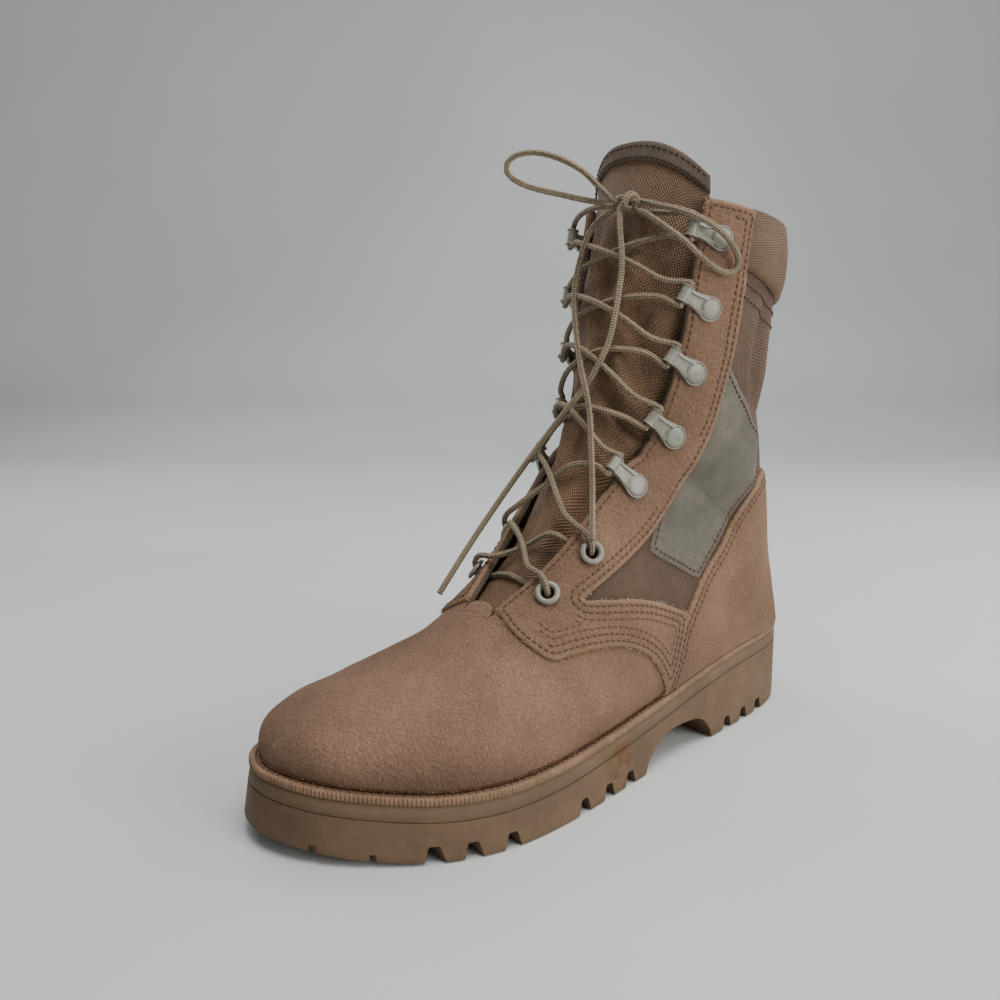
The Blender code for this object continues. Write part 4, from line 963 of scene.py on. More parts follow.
# Weaves are drawn at 1.2 to 1.7 mm, about twice their real pitch, so that they show
MATERIALS = {
    "Brushed suede leather": suede_leather,
    "Cut suede edge": cut_suede,
    # Coarse texturised nylon with a dull gleam
    "Nylon packcloth": lambda tree: cloth(tree, "nylon", 0.0017, 0.12, 0.0005, 0.6, 0.6),
    # The same nylon in a browner lot, with a warm sheen where it faces the light
    "Tongue packcloth": lambda tree: cloth(tree, "tongue", 0.0017, 0.35, 0.0005, 0.10, 0.5),
    # Flat tape, paler and greyer, with fine ribs that lean across it
    "Nylon web tape": lambda tree: cloth(tree, "tape", 0.0016, 0.10, 0.0004, 0.9, 0.5),
    # Smooth padded nylon with a tight weave
    "Padded nylon": lambda tree: cloth(tree, "collar", 0.0014, 0.16, 0.0004, 0.5, 0.62),
    # Ribbed nylon, grey-brown and dull
    "Ribbed binding": lambda tree: cloth(tree, "binding", 0.0012, 0.08, 0.0003, 0.0, 0.75),
    # Soft knit, darker than the outside
    "Knitted lining": lambda tree: cloth(tree, "lining", 0.0016, 0.10, 0.0003, 0.8, 0.9),
    # Felted cloth on the foam insole, without any gleam
    "Insole cloth": lambda tree: cloth(tree, "insole", 0.0014, 0.05, 0.0003, 0.3, 0.95),
    # The darker, browner rubber that meets the ground
    "Outsole rubber": lambda tree: sole_rubber(tree, "outsole"),
    # The band above it, a shade warmer
    "Midsole rubber": lambda tree: sole_rubber(tree, "midsole"),
    "Ribbed welt strip": welt_strip,
    "Baked enamel": hook_enamel,
    "Lace braid": lace_braid,
    # Dark brown rows on the suede and tape
    "Tan thread": lambda tree: thread(tree, "thread"),
    # Nearly black rows on the tongue's binding
    "Dark thread": lambda tree: thread(tree, "tongue_thread"),
    # Pale hairs that catch the light at cut edges
    "Loose fibre": lambda tree: thread(tree, "fibre"),
    "Studio floor": studio_floor,
}


def surface(name):
    """The named material, made once."""
    material = bpy.data.materials.get(name)
    if material is None:
        material = bpy.data.materials.new(name)
        material.use_nodes = True
        tree = material.node_tree
        tree.nodes.clear()
        shader = MATERIALS[name](tree)
        output = tree.nodes.new("ShaderNodeOutputMaterial")
        tree.links.new(shader.outputs[0], output.inputs["Surface"])
    return material


# ---- settings ----


def metres(name, description, default, least=0.0, most=1.0):
    """A setting in metres."""
    return bpy.props.FloatProperty(name=name, description=description, default=default,
                                   min=least, max=most, unit="LENGTH", subtype="DISTANCE")


def hue(name, description, code):
    """A setting for a colour, its default given as a hex code."""
    return bpy.props.FloatVectorProperty(name=name, description=description, default=linear(code),
                                         size=3, min=0.0, max=1.0, subtype="COLOR")


class BootSizes(bpy.types.PropertyGroup):
    """Sizes of the boot's finish"""

    crease_depth: metres("Crease depth", "How deep the deepest crease is", 0.0026, 0.0, 0.006)
    stitch_length: metres("Stitch length", "Length of one stitch that shows", 0.0022, 0.001)
    stitch_pitch: metres("Stitch pitch", "From one stitch to the next", 0.0031, 0.001)
    thread_radius: metres("Thread radius", "Half the thread's thickness", 0.00042, 0.0001)
    rib_pitch: metres("Welt rib pitch", "From one rib of the welt to the next", 0.0017, 0.0005)
    fuzz: bpy.props.IntProperty(
        name="Fuzz", description="How many loose fibres stand on cut suede", default=70, min=0)


class BootColours(bpy.types.PropertyGroup):
    """Colours of the boot's materials"""

    suede: hue("Suede", "Brushed leather of the vamp, facings and counter", "#826754")
    cut_edge: hue("Cut edge", "Raw edge of the leather at the welt", "#54392a")
    nylon: hue("Nylon", "Woven cloth of the shaft", "#655041")
    tongue: hue("Tongue", "Woven cloth of the tongue", "#83674f")
    tape: hue("Web tape", "Slanting tape at the ankle", "#767166")
    collar: hue("Collar", "Padded cloth round the top", "#6c5540")
    binding: hue("Binding", "Tape round the tongue's top", "#695b4e")
    lining: hue("Lining", "Cloth inside the shaft", "#6b5c4b")
    insole: hue("Insole", "Cloth on the insole", "#5a5146")
    outsole: hue("Outsole", "Rubber that meets the ground", "#68533e")
    midsole: hue("Midsole", "Rubber between outsole and welt", "#6b5742")
    welt: hue("Welt", "Ribbed strip round the foot", "#816650")
    enamel: hue("Enamel", "Paint on eyelets and hooks", "#838074")
    lace: hue("Lace", "Braid of the lace and bow", "#928064")
    thread: hue("Thread", "Sewing thread of the leather and tape", "#553c2a")
    tongue_thread: hue("Tongue thread", "Sewing thread of the binding", "#33281f")
    fibre: hue("Fibre", "Loose fibres at cut edges", "#bfa387")


def sizes():
    """The settings for sizes, as they stand."""
    return bpy.context.scene.boot_sizes


# Creases: side (1 outer, -1 inner, 0 both), width, depth share and shares along and up
CREASES = [
    (0, 0.0060, 0.20, [(0.655, 0.335), (0.700, 0.240), (0.705, 0.165)]),
    (-1, 0.0070, 0.20, [(0.800, 0.260), (0.840, 0.200), (0.850, 0.140)]),
    (0, 0.0060, 1.3, [(0.075, 0.800), (0.105, 0.690), (0.128, 0.580), (0.140, 0.490)]),
    (0, 0.0050, 1.0, [(0.160, 0.830), (0.180, 0.740), (0.175, 0.640), (0.150, 0.560)]),
    (1, 0.0050, 0.8, [(0.190, 0.600), (0.260, 0.520), (0.330, 0.470)]),
    (-1, 0.0055, 1.1, [(0.170, 0.560), (0.250, 0.500), (0.330, 0.480)]),
    (-1, 0.0050, 0.9, [(0.180, 0.700), (0.250, 0.640), (0.300, 0.560)]),
    (0, 0.0050, 0.5, [(0.210, 0.530), (0.290, 0.440), (0.370, 0.400)]),
    (0, 0.0060, 0.3, [(0.120, 0.440), (0.190, 0.395), (0.250, 0.330)]),
    (0, 0.0060, 0.25, [(0.090, 0.330), (0.170, 0.300), (0.270, 0.230)]),
    (1, 0.0060, 0.3, [(0.470, 0.150), (0.520, 0.190), (0.600, 0.180)]),
    (-1, 0.0060, 0.5, [(0.450, 0.130), (0.530, 0.180), (0.620, 0.160)]),
    (0, 0.0060, 0.5, [(0.300, 0.860), (0.290, 0.780), (0.310, 0.700)]),
]


# The leather pushed out of a crease stands beside it: height, distance and width as shares
RIDGE = (0.55, 2.0, 0.9)
# Unevenness of the whole wall: height, width and seed
WAVINESS = [(0.00022, 0.021, 3), (0.00016, 0.008, 5)]
CALM_FOOT = 0.012


def relief(point, side):
    """How far the wall stands out at points seen from the side, from soft troughs and ridges."""
    total = np.zeros(len(point))
    tall, apart, wide = RIDGE
    for on_side, width, share, line in CREASES:
        line = np.array([(along_upper(a), b * SHAFT_HEIGHT) for a, b in line])
        line = table_at(line, np.linspace(0, len(line) - 1, 4 * len(line)))
        flat = point[:, [0, 2]]
        best = np.full(len(point), np.inf)
        where = np.zeros(len(point))
        for n, (a, b) in enumerate(zip(line, line[1:])):
            edge = b - a
            t = np.clip((flat - a) @ edge / (edge @ edge), 0, 1)
            away = np.linalg.norm(flat - a - t[:, None] * edge, axis=1)
            closer = away < best
            best = np.where(closer, away, best)
            where = np.where(closer, (n + t) / (len(line) - 1), where)
        fade = np.clip(np.sin(np.pi * np.clip(where, 0.02, 0.98)), 0, 1) ** 0.7
        trough = np.exp(-((best / width) ** 2))
        ridge = tall * np.exp(-(((best - apart * width) / (wide * width)) ** 2))
        amount = (ridge - trough) * share * sizes().crease_depth * fade
        total += amount if on_side == 0 else np.where(side == on_side, amount, 0.0)
    total += sum(height * hash_noise(point, size, seed) for height, size, seed in WAVINESS)
    return total * np.clip((point[:, 2] - sole_top(point[:, 0])) / CALM_FOOT, 0, 1)


def worn_skin(place, turn, offset=0.0):
    """The skin with its creases."""
    place = np.atleast_1d(np.asarray(place, float))
    turn = np.broadcast_to(np.asarray(turn, float), place.shape)
    point = skin_point(place, turn)
    side = np.where(turn >= 0, 1, -1)
    # Both sides' creases fade out towards the ridge, and on the shaft towards the back line
    off_ridge = np.clip(np.abs(turn) / 0.12, 0, 1)
    off_back = np.where(place > HEEL_ROW, np.clip((2 - np.abs(turn)) / 0.10, 0, 1), 1.0)
    return skin(place, turn, offset + relief(point, side) * (off_ridge * off_back))


def wear_layer(made, values):
    """How worn each point is, read by the suede's material."""
    layer = made.data.attributes.new("wear", "FLOAT", "POINT")
    layer.data.foreach_set("value", np.clip(values, 0, 1).astype(np.float32))


def settle(made, *nodes, slot):
    """Puts a piece on the boot, over the solids that it stands for."""
    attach(made, "root")
    if nodes:
        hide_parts(*nodes)
    return made


# ---- stitches and fibres ----

FIBRE_RADIUS = 0.00009
# A rod's rings: place along it and thickness, as shares
ROD = [(0.0, 0.35), (0.18, 1.0), (0.82, 1.0), (1.0, 0.35)]


def capsules(name, starts, ends, radius, material, sides=5):
    """Small rounded rods between pairs of points, as one mesh."""
    starts, ends = np.asarray(starts, float), np.asarray(ends, float)
    along = ends - starts
    length = np.linalg.norm(along, axis=1)
    keep = length > 1e-5
    starts, ends, along, length = starts[keep], ends[keep], along[keep], length[keep]
    radius = np.broadcast_to(np.asarray(radius, float), keep.shape)[keep]
    along = along / length[:, None]
    helper = np.where(np.abs(along[:, [2]]) < 0.9, [[0.0, 0.0, 1.0]], [[1.0, 0.0, 0.0]])
    across = unit(np.cross(along, helper))
    other = np.cross(along, across)
    rings = []
    for at, size in ROD:
        centre = starts + along * (length * at)[:, None]
        for k in range(sides):
            angle = 2 * math.pi * k / sides
            out = across * math.cos(angle) + other * math.sin(angle)
            rings.append(centre + out * (radius * size)[:, None])
    points = np.stack(rings, 1).reshape(-1, 3)
    faces = []
    for ring in range(len(ROD) - 1):
        for k in range(sides):
            a, b = ring * sides + k, ring * sides + (k + 1) % sides
            faces.append((a, b, b + sides, a + sides))
    faces = np.array(faces)
    step = len(ROD) * sides
    base = np.arange(len(starts))[:, None, None] * step
    quads = (faces[None] + base).reshape(-1, 4).tolist()
    for first in range(0, len(points), step):
        quads.append(list(range(first + sides - 1, first - 1, -1)))
        quads.append(list(range(first + step - sides, first + step)))
    return mesh_object(name, points, quads, material, weld=0)


def stitch_spots(route):
    """Start and end of every stitch along a route in space."""
    gone = arc_lengths(route)
    if gone[-1] < sizes().stitch_pitch * 1.5:
        return [], []
    count = max(1, int(gone[-1] / sizes().stitch_pitch))
    pitch = gone[-1] / count
    gap = (pitch - sizes().stitch_length) / 2
    starts, ends = [], []
    for n in range(count):
        for at, out in ((n * pitch + gap, starts), ((n + 1) * pitch - gap, ends)):
            out.append([np.interp(at, gone, route[:, k]) for k in range(3)])
    return starts, ends


def sew(name, chains, lift):
    """Rows of stitches along chains of places and turns on the skin."""
    starts, ends = [], []
    for chain in chains:
        route = worn_skin(chain[:, 0], chain[:, 1], lift)
        first, last = stitch_spots(route)
        starts += first
        ends += last
    made = capsules(name, starts, ends, sizes().thread_radius, surface("Tan thread"))
    return settle(made, slot="cord")


def fray(name, points, normals, outward, count, reach, seed):
    """Loose fibres standing from a cut edge, as thin tapered rods."""
    rng = random.Random(seed)
    starts, ends = [], []
    for _ in range(count):
        i = rng.randrange(len(points))
        root = Vector(points[i])
        lean = Vector(outward[i]) * rng.uniform(0.2, 1.0)
        lean += Vector(normals[i]) * rng.uniform(-0.1, 0.7)
        lean += Vector([rng.uniform(-0.8, 0.8) for _ in range(3)])
        starts.append(root - lean.normalized() * 0.0003)
        ends.append(root + lean.normalized() * reach * rng.uniform(0.35, 1.0))
    made = capsules(name, starts, ends, FIBRE_RADIUS, surface("Loose fibre"), sides=3)
    return settle(made, slot="suede")


# ---- the upper ----

FINE_ROWS = np.concatenate([
    np.linspace(0, 1, 9), np.linspace(1, THROAT_ROW, 66)[1:],
    np.linspace(THROAT_ROW, COLLAR_ROW, 176)[1:],
])
# Top edge of the vamp seen from the side: shares of the upper's length and shaft height
VAMP_LINE = [(0.34, 0.20), (0.42, 0.235), (0.50, 0.262), (0.58, 0.275), (0.63, 0.300),
             (0.66, 0.420)]
# Columns of the wall from the opening's edge to the back, and how far the lip rises in rows
BACK_COLUMNS = 64
LIP_REACH = 0.34
RIM_ROUNDING = 0.0007
PIERCED_RADIUS = 0.0034


def eyelet_frames():
    """The four eyelets' frames by side and number."""
    frames = {}
    for side_name, side in SIDES.items():
        for number, eyelet in enumerate(EYELETS, 1):
            lift = GAP + SUEDE + GAP + EYELET_RING
            frames[f"{side_name}_{number}"] = seat(*eyelet, side, lift)
    return frames


def pierced(points, faces):
    """Faces without those inside an eyelet's hole."""
    faces = np.asarray(faces)
    centre = points[faces].mean(axis=1)
    keep = np.ones(len(faces), bool)
    for place in eyelet_frames().values():
        flat = place.inverted()
        here = np.array(flat.to_3x3()) @ centre.T
        here = here.T + np.array(flat.translation)
        apart = np.hypot(here[:, 0], here[:, 1]) > PIERCED_RADIUS
        keep &= apart | (np.abs(here[:, 2]) > 0.012)
    return faces[keep]


def wall_grid(offset):
    """The whole wall's points at an offset, its quads, places and turns."""
    places, turns, quads = [], [], []
    start = 0
    front = FINE_ROWS[FINE_ROWS <= THROAT_ROW + 1e-9]
    edge = throat(front)
    share = np.linspace(-1, 1, 9)
    places.append(np.repeat(front, 9))
    turns.append((edge[:, None] * share).ravel())
    quads.append(grid_quads(len(front), 9)[:, ::-1] + start)
    start += len(places[-1])
    for side in SIDES.values():
        place, part = grid_of(FINE_ROWS, np.linspace(0, 1, BACK_COLUMNS + 1))
        first = throat(place)
        places.append(place)
        turns.append(side * (first + (2 - first) * part))
        faces = grid_quads(len(FINE_ROWS), BACK_COLUMNS + 1)
        quads.append((faces[:, ::-1] if side > 0 else faces) + start)
        start += len(place)
    place, turn = np.concatenate(places), np.concatenate(turns)
    return worn_skin(place, turn, offset), np.concatenate(quads), place, turn


def part_of(faces):
    """The points that faces use, and the faces renumbered."""
    used = np.unique(faces)
    number = np.full(used[-1] + 1, -1)
    number[used] = np.arange(len(used))
    return used, number[faces]


def make_upper():
    """The wall outside, split into vamp and quarters, its lining, the vamp's lip and the rim."""
    points, quads, place, turn = wall_grid(0.0)
    uv = surface_uv(place, turn)
    quads = pierced(points, quads)
    centre = points[quads].mean(axis=1)
    line = np.interp(from_heel(centre)[0], *np.array(VAMP_LINE).T) * SHAFT_HEIGHT
    in_vamp = (centre[:, 2] < line) | (place[quads].max(axis=1) <= THROAT_ROW)
    make_lip()
    for name, faces, material, slot in (
        ("vamp", quads[in_vamp], surface("Brushed suede leather"), "suede"),
        ("quarters", quads[~in_vamp], surface("Nylon packcloth"), "nylon"),
    ):
        used, small = part_of(faces)
        settle(mesh_object(name, points[used], small, material, uv[used]), "upper", slot=slot)
    cloth_points, cloth_quads, place, turn = wall_grid(-WALL)
    cloth_quads = pierced(cloth_points, cloth_quads)[:, ::-1]
    uv = surface_uv(place, turn)
    settle(mesh_object("lining", cloth_points, cloth_quads,
                       surface("Knitted lining"), uv), "upper", slot="nylon")
    make_rim()


def make_lip():
    """The vamp's curved edge where it meets the tongue."""
    across = np.linspace(-1, 1, 41)
    up = np.linspace(-0.5, 1, 16)
    part, share = grid_of(up, across)
    place = THROAT_ROW + np.where(part > 0, part * LIP_REACH * (1 - share**4), part)
    turn = share * throat(place)
    near = np.clip((1 - part) / 0.12, 0, 1)
    lift = np.where(part > 0, 0.00005, -0.0004) - 0.0007 * (1 - np.sqrt(1 - (1 - near) ** 2))
    outer = worn_skin(place, turn, lift)
    inner = worn_skin(place, turn, -WALL * 0.92)
    quads = grid_quads(len(up), len(across))[:, ::-1]
    points, faces, uv = shell(place, turn, outer, inner, quads)
    made = mesh_object("vamp_lip", points, faces, surface("Brushed suede leather"), uv, weld=0)
    wear_layer(made, np.zeros(len(points)))
    settle(made, "upper", slot="suede")


def make_rim():
    """The wall's thickness along the opening's edge and round the top."""
    rows = FINE_ROWS[FINE_ROWS >= THROAT_ROW - 1e-9]
    share = np.linspace(0, 1, 60)[1:]
    top = np.full(len(share), COLLAR_ROW)
    place = np.concatenate([rows, top])
    parts = []
    for side in SIDES.values():
        turn = side * np.concatenate([throat(rows), throat(top) * (1 - share) + 2 * share])
        layers = [worn_skin(place, turn, offset) for offset in (0.0, -WALL / 2, -WALL)]
        tangent = unit(np.gradient(layers[1], axis=0))
        out = unit(np.cross(tangent, layers[0] - layers[2]))
        inside = worn_skin(np.maximum(place - 0.3, THROAT_ROW), turn + side * 0.06, -WALL / 2)
        out *= np.sign(np.einsum("ij,ij->i", out, layers[1] - inside))[:, None]
        layers[1] = layers[1] + out * RIM_ROUNDING
        gone = arc_lengths(layers[1])
        uv = [np.stack([np.full(len(gone), k * WALL / 2), gone], 1) for k in range(3)]
        parts.append((np.vstack(layers), grid_quads(3, len(place)), np.vstack(uv)))
    points, faces, uv = joined(parts)
    settle(mesh_object("rim", points, faces, surface("Ribbed binding"), uv), "upper", slot="nylon")


def seat(place, distance, side, lift):
    """A frame on the eyestay: x towards the throat, y up along its edge and z out."""
    step = 0.01
    turn = float(throat([place])[0])
    gone = 0.0
    here = skin_point(np.array([place]), np.array([turn]))[0]
    while gone < distance:
        turn += step
        ahead = skin_point(np.array([place]), np.array([turn]))[0]
        gone += np.linalg.norm(ahead - here)
        here = ahead
    turn *= side
    at = np.array([place])
    out = Vector(skin_normal(at, np.array([turn]))[0])
    ahead = Vector(skin_point(at, np.array([turn - side * 0.05]))[0])
    ahead -= Vector(skin_point(at, np.array([turn]))[0])
    ahead = (ahead - out * ahead.dot(out)).normalized()
    along = out.cross(ahead)
    frame_here = Matrix((ahead, along, out)).transposed().to_4x4()
    frame_here.translation = Vector(worn_skin(at, np.array([turn]), lift)[0])
    return frame_here


# ---- layers on the upper ----

EDGE_ROW = 0.0026
SECOND_ROW = 0.0056
WING_ROWS = (0.0086, 0.0112)
LAYER_ROUNDING = 0.0013
LAYER_EDGE = 0.45
LAYER_SUNK = 0.0007
GROOVE_DEPTH = 0.00028
GROOVE_WIDTH = 0.0007
WORN_EDGE = 0.0016
STITCH_SUNK = 0.00005


def shell(place, turn, outer, inner, quads):
    """Points, faces and uv of a wall between two faces over the same places."""
    flat = surface_uv(place, turn)
    return *with_back(outer, inner, quads), np.vstack([flat, flat])


def layer_piece(name, patches, base, thickness, material, slot, wear=0.35):
    """A sewn layer on the skin from one or more patches, its cut edge rounded over."""
    parts, edges = [], []
    for patch in patches:
        at = np.clip(patch.edge / LAYER_ROUNDING, 0, 1)
        round_over = LAYER_EDGE + (1 - LAYER_EDGE) * np.sqrt(1 - (1 - at) ** 2)
        height = base + thickness * round_over
        for row in (EDGE_ROW, SECOND_ROW):
            height -= GROOVE_DEPTH * np.exp(-(((patch.edge - row) / GROOVE_WIDTH) ** 2))
        outer = worn_skin(patch.place, patch.turn, height)
        inner = worn_skin(patch.place, patch.turn, -LAYER_SUNK)
        parts.append(shell(patch.place, patch.turn, outer, inner, patch.faces))
        rim = np.clip(1 - patch.edge / WORN_EDGE, 0, 1) * wear
        edges += [rim, np.full(len(rim), wear)]
    points, faces, uv = joined(parts)
    made = mesh_object(name, points, faces, material, uv, weld=0)
    wear_layer(made, np.concatenate(edges))
    return settle(made, name, slot=slot)


def rim_fray(name, patch, keep, reach, count, seed):
    """Fibres along part of a suede patch's cut edge."""
    ends = np.array([i for i, _ in patch.rim])
    points = worn_skin(patch.place[ends], patch.turn[ends], GAP + SUEDE * 0.5)
    good = keep(points)
    ends, points = ends[good], points[good]
    normals = skin_normal(patch.place[ends], patch.turn[ends])
    other = np.array([j for _, j in patch.rim])[good]
    along = patch.points[other] - patch.points[ends]
    outward = np.cross(along, normals)
    outward /= np.maximum(np.linalg.norm(outward, axis=1), 1e-9)[:, None]
    from_middle = np.einsum("ij,ij->i", outward, points - patch.points.mean(axis=0))
    if np.median(from_middle) < 0:
        outward = -outward
    return fray(name, points, normals, outward, count, reach, seed)


def from_heel(points):
    """Shares of the upper's length and of the shaft's height at points."""
    return (points[:, 0] + HEEL_SETBACK - UPPER_START) / UPPER_LENGTH, points[:, 2] / SHAFT_HEIGHT


def make_eyestay(side_name):
    """The facing with its wing, its rows of stitches and its frayed ends."""
    side = SIDES[side_name]
    rows = np.linspace(THROAT_ROW, COLLAR_ROW, 300)
    patch = Patch(rows, throat_to_end, side, rounded(EYESTAY), 96)
    patch.faces = [tuple(f) for f in pierced(patch.points, patch.faces).tolist()]
    layer_piece(f"eyestay_{side_name}", [patch], GAP, SUEDE, surface("Brushed suede leather"),
                "suede")
    chains = patch.lines(EDGE_ROW)
    for distance in (SECOND_ROW, *WING_ROWS):
        for chain in patch.lines(distance):
            along, up = from_heel(skin(chain[:, 0], chain[:, 1]))
            # The wing lies low; its innermost row runs only in the front part
            wing = (up < 0.335) & (along < 0.575) | (up < 0.295) & (along < 0.632)
            wing &= (along > 0.47) | (distance < WING_ROWS[1])
            near_throat = np.abs(chain[:, 1]) < throat(chain[:, 0]) + 0.20
            wanted = wing | (~near_throat & (distance < WING_ROWS[0]) & (up > 0.3))
            cut = np.flatnonzero(np.diff(np.concatenate([[0], wanted, [0]])))
            chains += [chain[a:b] for a, b in zip(cut[::2], cut[1::2]) if b - a > 5]
    sew(f"eyestay_stitches_{side_name}", chains, GAP + SUEDE - STITCH_SUNK)
    low = lambda p: (from_heel(p)[1] < 0.34) | (from_heel(p)[1] > 0.94)
    rim_fray(f"eyestay_fray_{side_name}", patch, low, 0.0017, int(sizes().fuzz * 4.5), 11 + side)


def make_counter():
    """The suede piece round the heel, from two halves that meet at the back."""
    patches = []
    chains = []
    rows = np.linspace(8.5, 20.5, 260)
    for side in SIDES.values():
        turns = lambda place: (np.full(len(place), 0.6), np.full(len(place), 2.0))
        patches.append(Patch(rows, turns, side, rounded(COUNTER), 110))
        chains += patches[-1].lines(EDGE_ROW) + patches[-1].lines(SECOND_ROW)
    layer_piece("heel_counter", patches, 2 * GAP, SUEDE, surface("Brushed suede leather"), "suede")
    sew("counter_stitches", chains, 2 * GAP + SUEDE - STITCH_SUNK)
    rim_fray("counter_fray", patches[0], lambda p: p[:, 2] > 0.03, 0.0013, int(sizes().fuzz * 2), 5)


def make_tape(side_name):
    """The slanting web tape, thinner than its solid so that the suede lies over its ends."""
    thickness = TAPE_THICKNESS * 0.6
    rows = np.linspace(11.0, 23.0, 220)
    patch = Patch(rows, throat_to_end, SIDES[side_name], rounded(TAPE), 80)
    layer_piece(f"web_tape_{side_name}", [patch], GAP * 0.6, thickness,
                surface("Nylon web tape"), "webbing", wear=0)
    sew(f"tape_stitches_{side_name}", patch.lines(EDGE_ROW), GAP + thickness)


# Row where the collar starts, and its front end as a share of the way from the throat to the back
COLLAR_START = 22.4
COLLAR_SHARE = 0.235
SEAM_POINTS = 80


def make_collar():
    """The padded band round the back of the top, between the eyestays."""
    rows, columns = np.linspace(COLLAR_START, COLLAR_ROW, 46), np.linspace(0, 1, 91)
    place, share = grid_of(rows, columns)
    first = throat(place) + (2 - throat(place)) * COLLAR_SHARE
    parts = []
    for side in SIDES.values():
        turn = side * (first + (2 - first) * share)
        up = (place - COLLAR_START) / (COLLAR_ROW - COLLAR_START)
        # The pad swells between its two edges and thins out towards the facings
        round_up = np.sin(np.pi * (0.12 + 0.76 * up)) ** 0.6
        across = np.clip((np.abs(turn) - first) / 0.35, 0, 1)
        pad = TAPE_THICKNESS + (COLLAR_PAD - TAPE_THICKNESS) * round_up * across**0.5
        pad *= np.clip(np.minimum(up, 1.15 - up) / 0.05, 0.15, 1) ** 0.5
        # Soft upright folds where the padding bends round, and a lumpy filling
        folds = 0.0005 * np.sin(np.abs(turn) * 17 + 2.5 * up + 1.0) * across
        rough = 0.0004 * hash_noise(skin_point(place, turn), 0.013, 4)
        pad += (folds + rough) * np.sin(np.pi * up)
        quads = grid_quads(len(rows), len(columns))
        quads = quads if side < 0 else quads[:, ::-1]
        outer, inner = skin(place, turn, GAP + pad), skin(place, turn, -0.0005)
        parts.append(shell(place, turn, outer, inner, quads))
    points, faces, uv = joined(parts)
    made = mesh_object("collar", points, faces, surface("Padded nylon"), uv)
    settle(made, "collar", slot="nylon")
    # Two rows of stitches on the quarters below it
    seam = []
    for lift in (0.30, 0.62):
        for side in SIDES.values():
            turn = np.linspace(throat([COLLAR_START])[0] + 0.36, 2.0, SEAM_POINTS)
            seam.append(np.stack([np.full(SEAM_POINTS, COLLAR_START - lift), side * turn], 1))
    sew("collar_stitches", seam, 0.0004)


# ---- tongue ----

# Folds as lines on the tongue: up and across at both ends, width as a share, depth in mm
TONGUE_FOLDS = [
    (0.88, 0.10, 0.70, -0.05, 0.07, 2.6), (0.84, 0.60, 0.66, 0.30, 0.06, 2.4),
    (0.86, -0.40, 0.62, -0.28, 0.06, 2.4), (0.72, 0.45, 0.60, 0.60, 0.06, 2.0),
    (0.66, 0.05, 0.50, 0.30, 0.07, 2.6), (0.62, -0.55, 0.42, -0.20, 0.07, 2.4),
    (0.52, 0.62, 0.36, 0.30, 0.07, 2.2), (0.48, 0.02, 0.26, 0.22, 0.08, 2.2),
    (0.40, -0.45, 0.18, -0.35, 0.07, 1.8), (0.34, 0.62, 0.14, 0.45, 0.07, 1.5),
    (0.77, -0.10, 0.66, -0.50, 0.05, 1.8), (0.57, 0.25, 0.47, 0.62, 0.05, 2.0),
]


# The tongue is four times as tall as half its width
TONGUE_TALL = 4
FOLD_WIDENING = 1.7
FOLD_GAIN = 1.5


def tongue_relief(up, across):
    """Soft folds of the gusset between the laces, each a trough with a ridge beside it."""
    total = np.zeros(len(up))
    here = np.stack([across, up * TONGUE_TALL], 1)
    for up_a, across_a, up_b, across_b, width, depth in TONGUE_FOLDS:
        a, b = np.array([across_a, up_a * TONGUE_TALL]), np.array([across_b, up_b * TONGUE_TALL])
        edge = b - a
        t = np.clip((here - a) @ edge / (edge @ edge), 0, 1)
        away = np.linalg.norm(here - a - t[:, None] * edge, axis=1) / (width * FOLD_WIDENING)
        fade = np.sin(np.pi * np.clip(t, 0.04, 0.96)) ** 0.6
        total += (0.6 * np.exp(-((away - 1.9) ** 2)) - np.exp(-(away**2))) * depth * 0.001 * fade
    return FOLD_GAIN * total * np.clip((1 - np.abs(across)) / 0.15, 0, 1)


def tongue_sheet(ups, columns, lift):
    """Points of the tongue's face at a lift in metres over rows and columns."""
    up, across = grid_of(ups, columns)
    place, turn = tongue_key(up, across)
    depth = tongue_depth(place, turn)
    folds = tongue_relief(up, across)
    return skin(place, turn, lift - depth + folds)


def make_tongue():
    """The tongue with its folds, its weave laid out from the middle, and its binding."""
    ups, columns = np.linspace(0, 1, 190), np.linspace(-1, 1, 71)
    middle = len(columns) // 2
    outer = tongue_sheet(ups, columns, 0.0)
    inner = tongue_sheet(ups, columns, -TONGUE_THICKNESS)
    quads = grid_quads(len(ups), len(columns))[:, ::-1]
    points, faces = with_back(outer, inner, quads)
    sheet = outer.reshape(len(ups), len(columns), 3)
    wide = np.linalg.norm(np.diff(sheet, axis=1), axis=2)
    wide = np.concatenate([np.zeros((len(ups), 1)), np.cumsum(wide, 1)], 1)
    wide -= wide[:, [middle]]
    tall = arc_lengths(sheet[:, middle])
    flat = np.stack([wide.ravel(), np.repeat(tall, len(columns))], 1)
    uv = np.vstack([flat, flat])
    made = mesh_object("tongue", points, faces, surface("Tongue packcloth"), uv, weld=0)
    settle(made, "tongue", slot="nylon")
    make_binding()


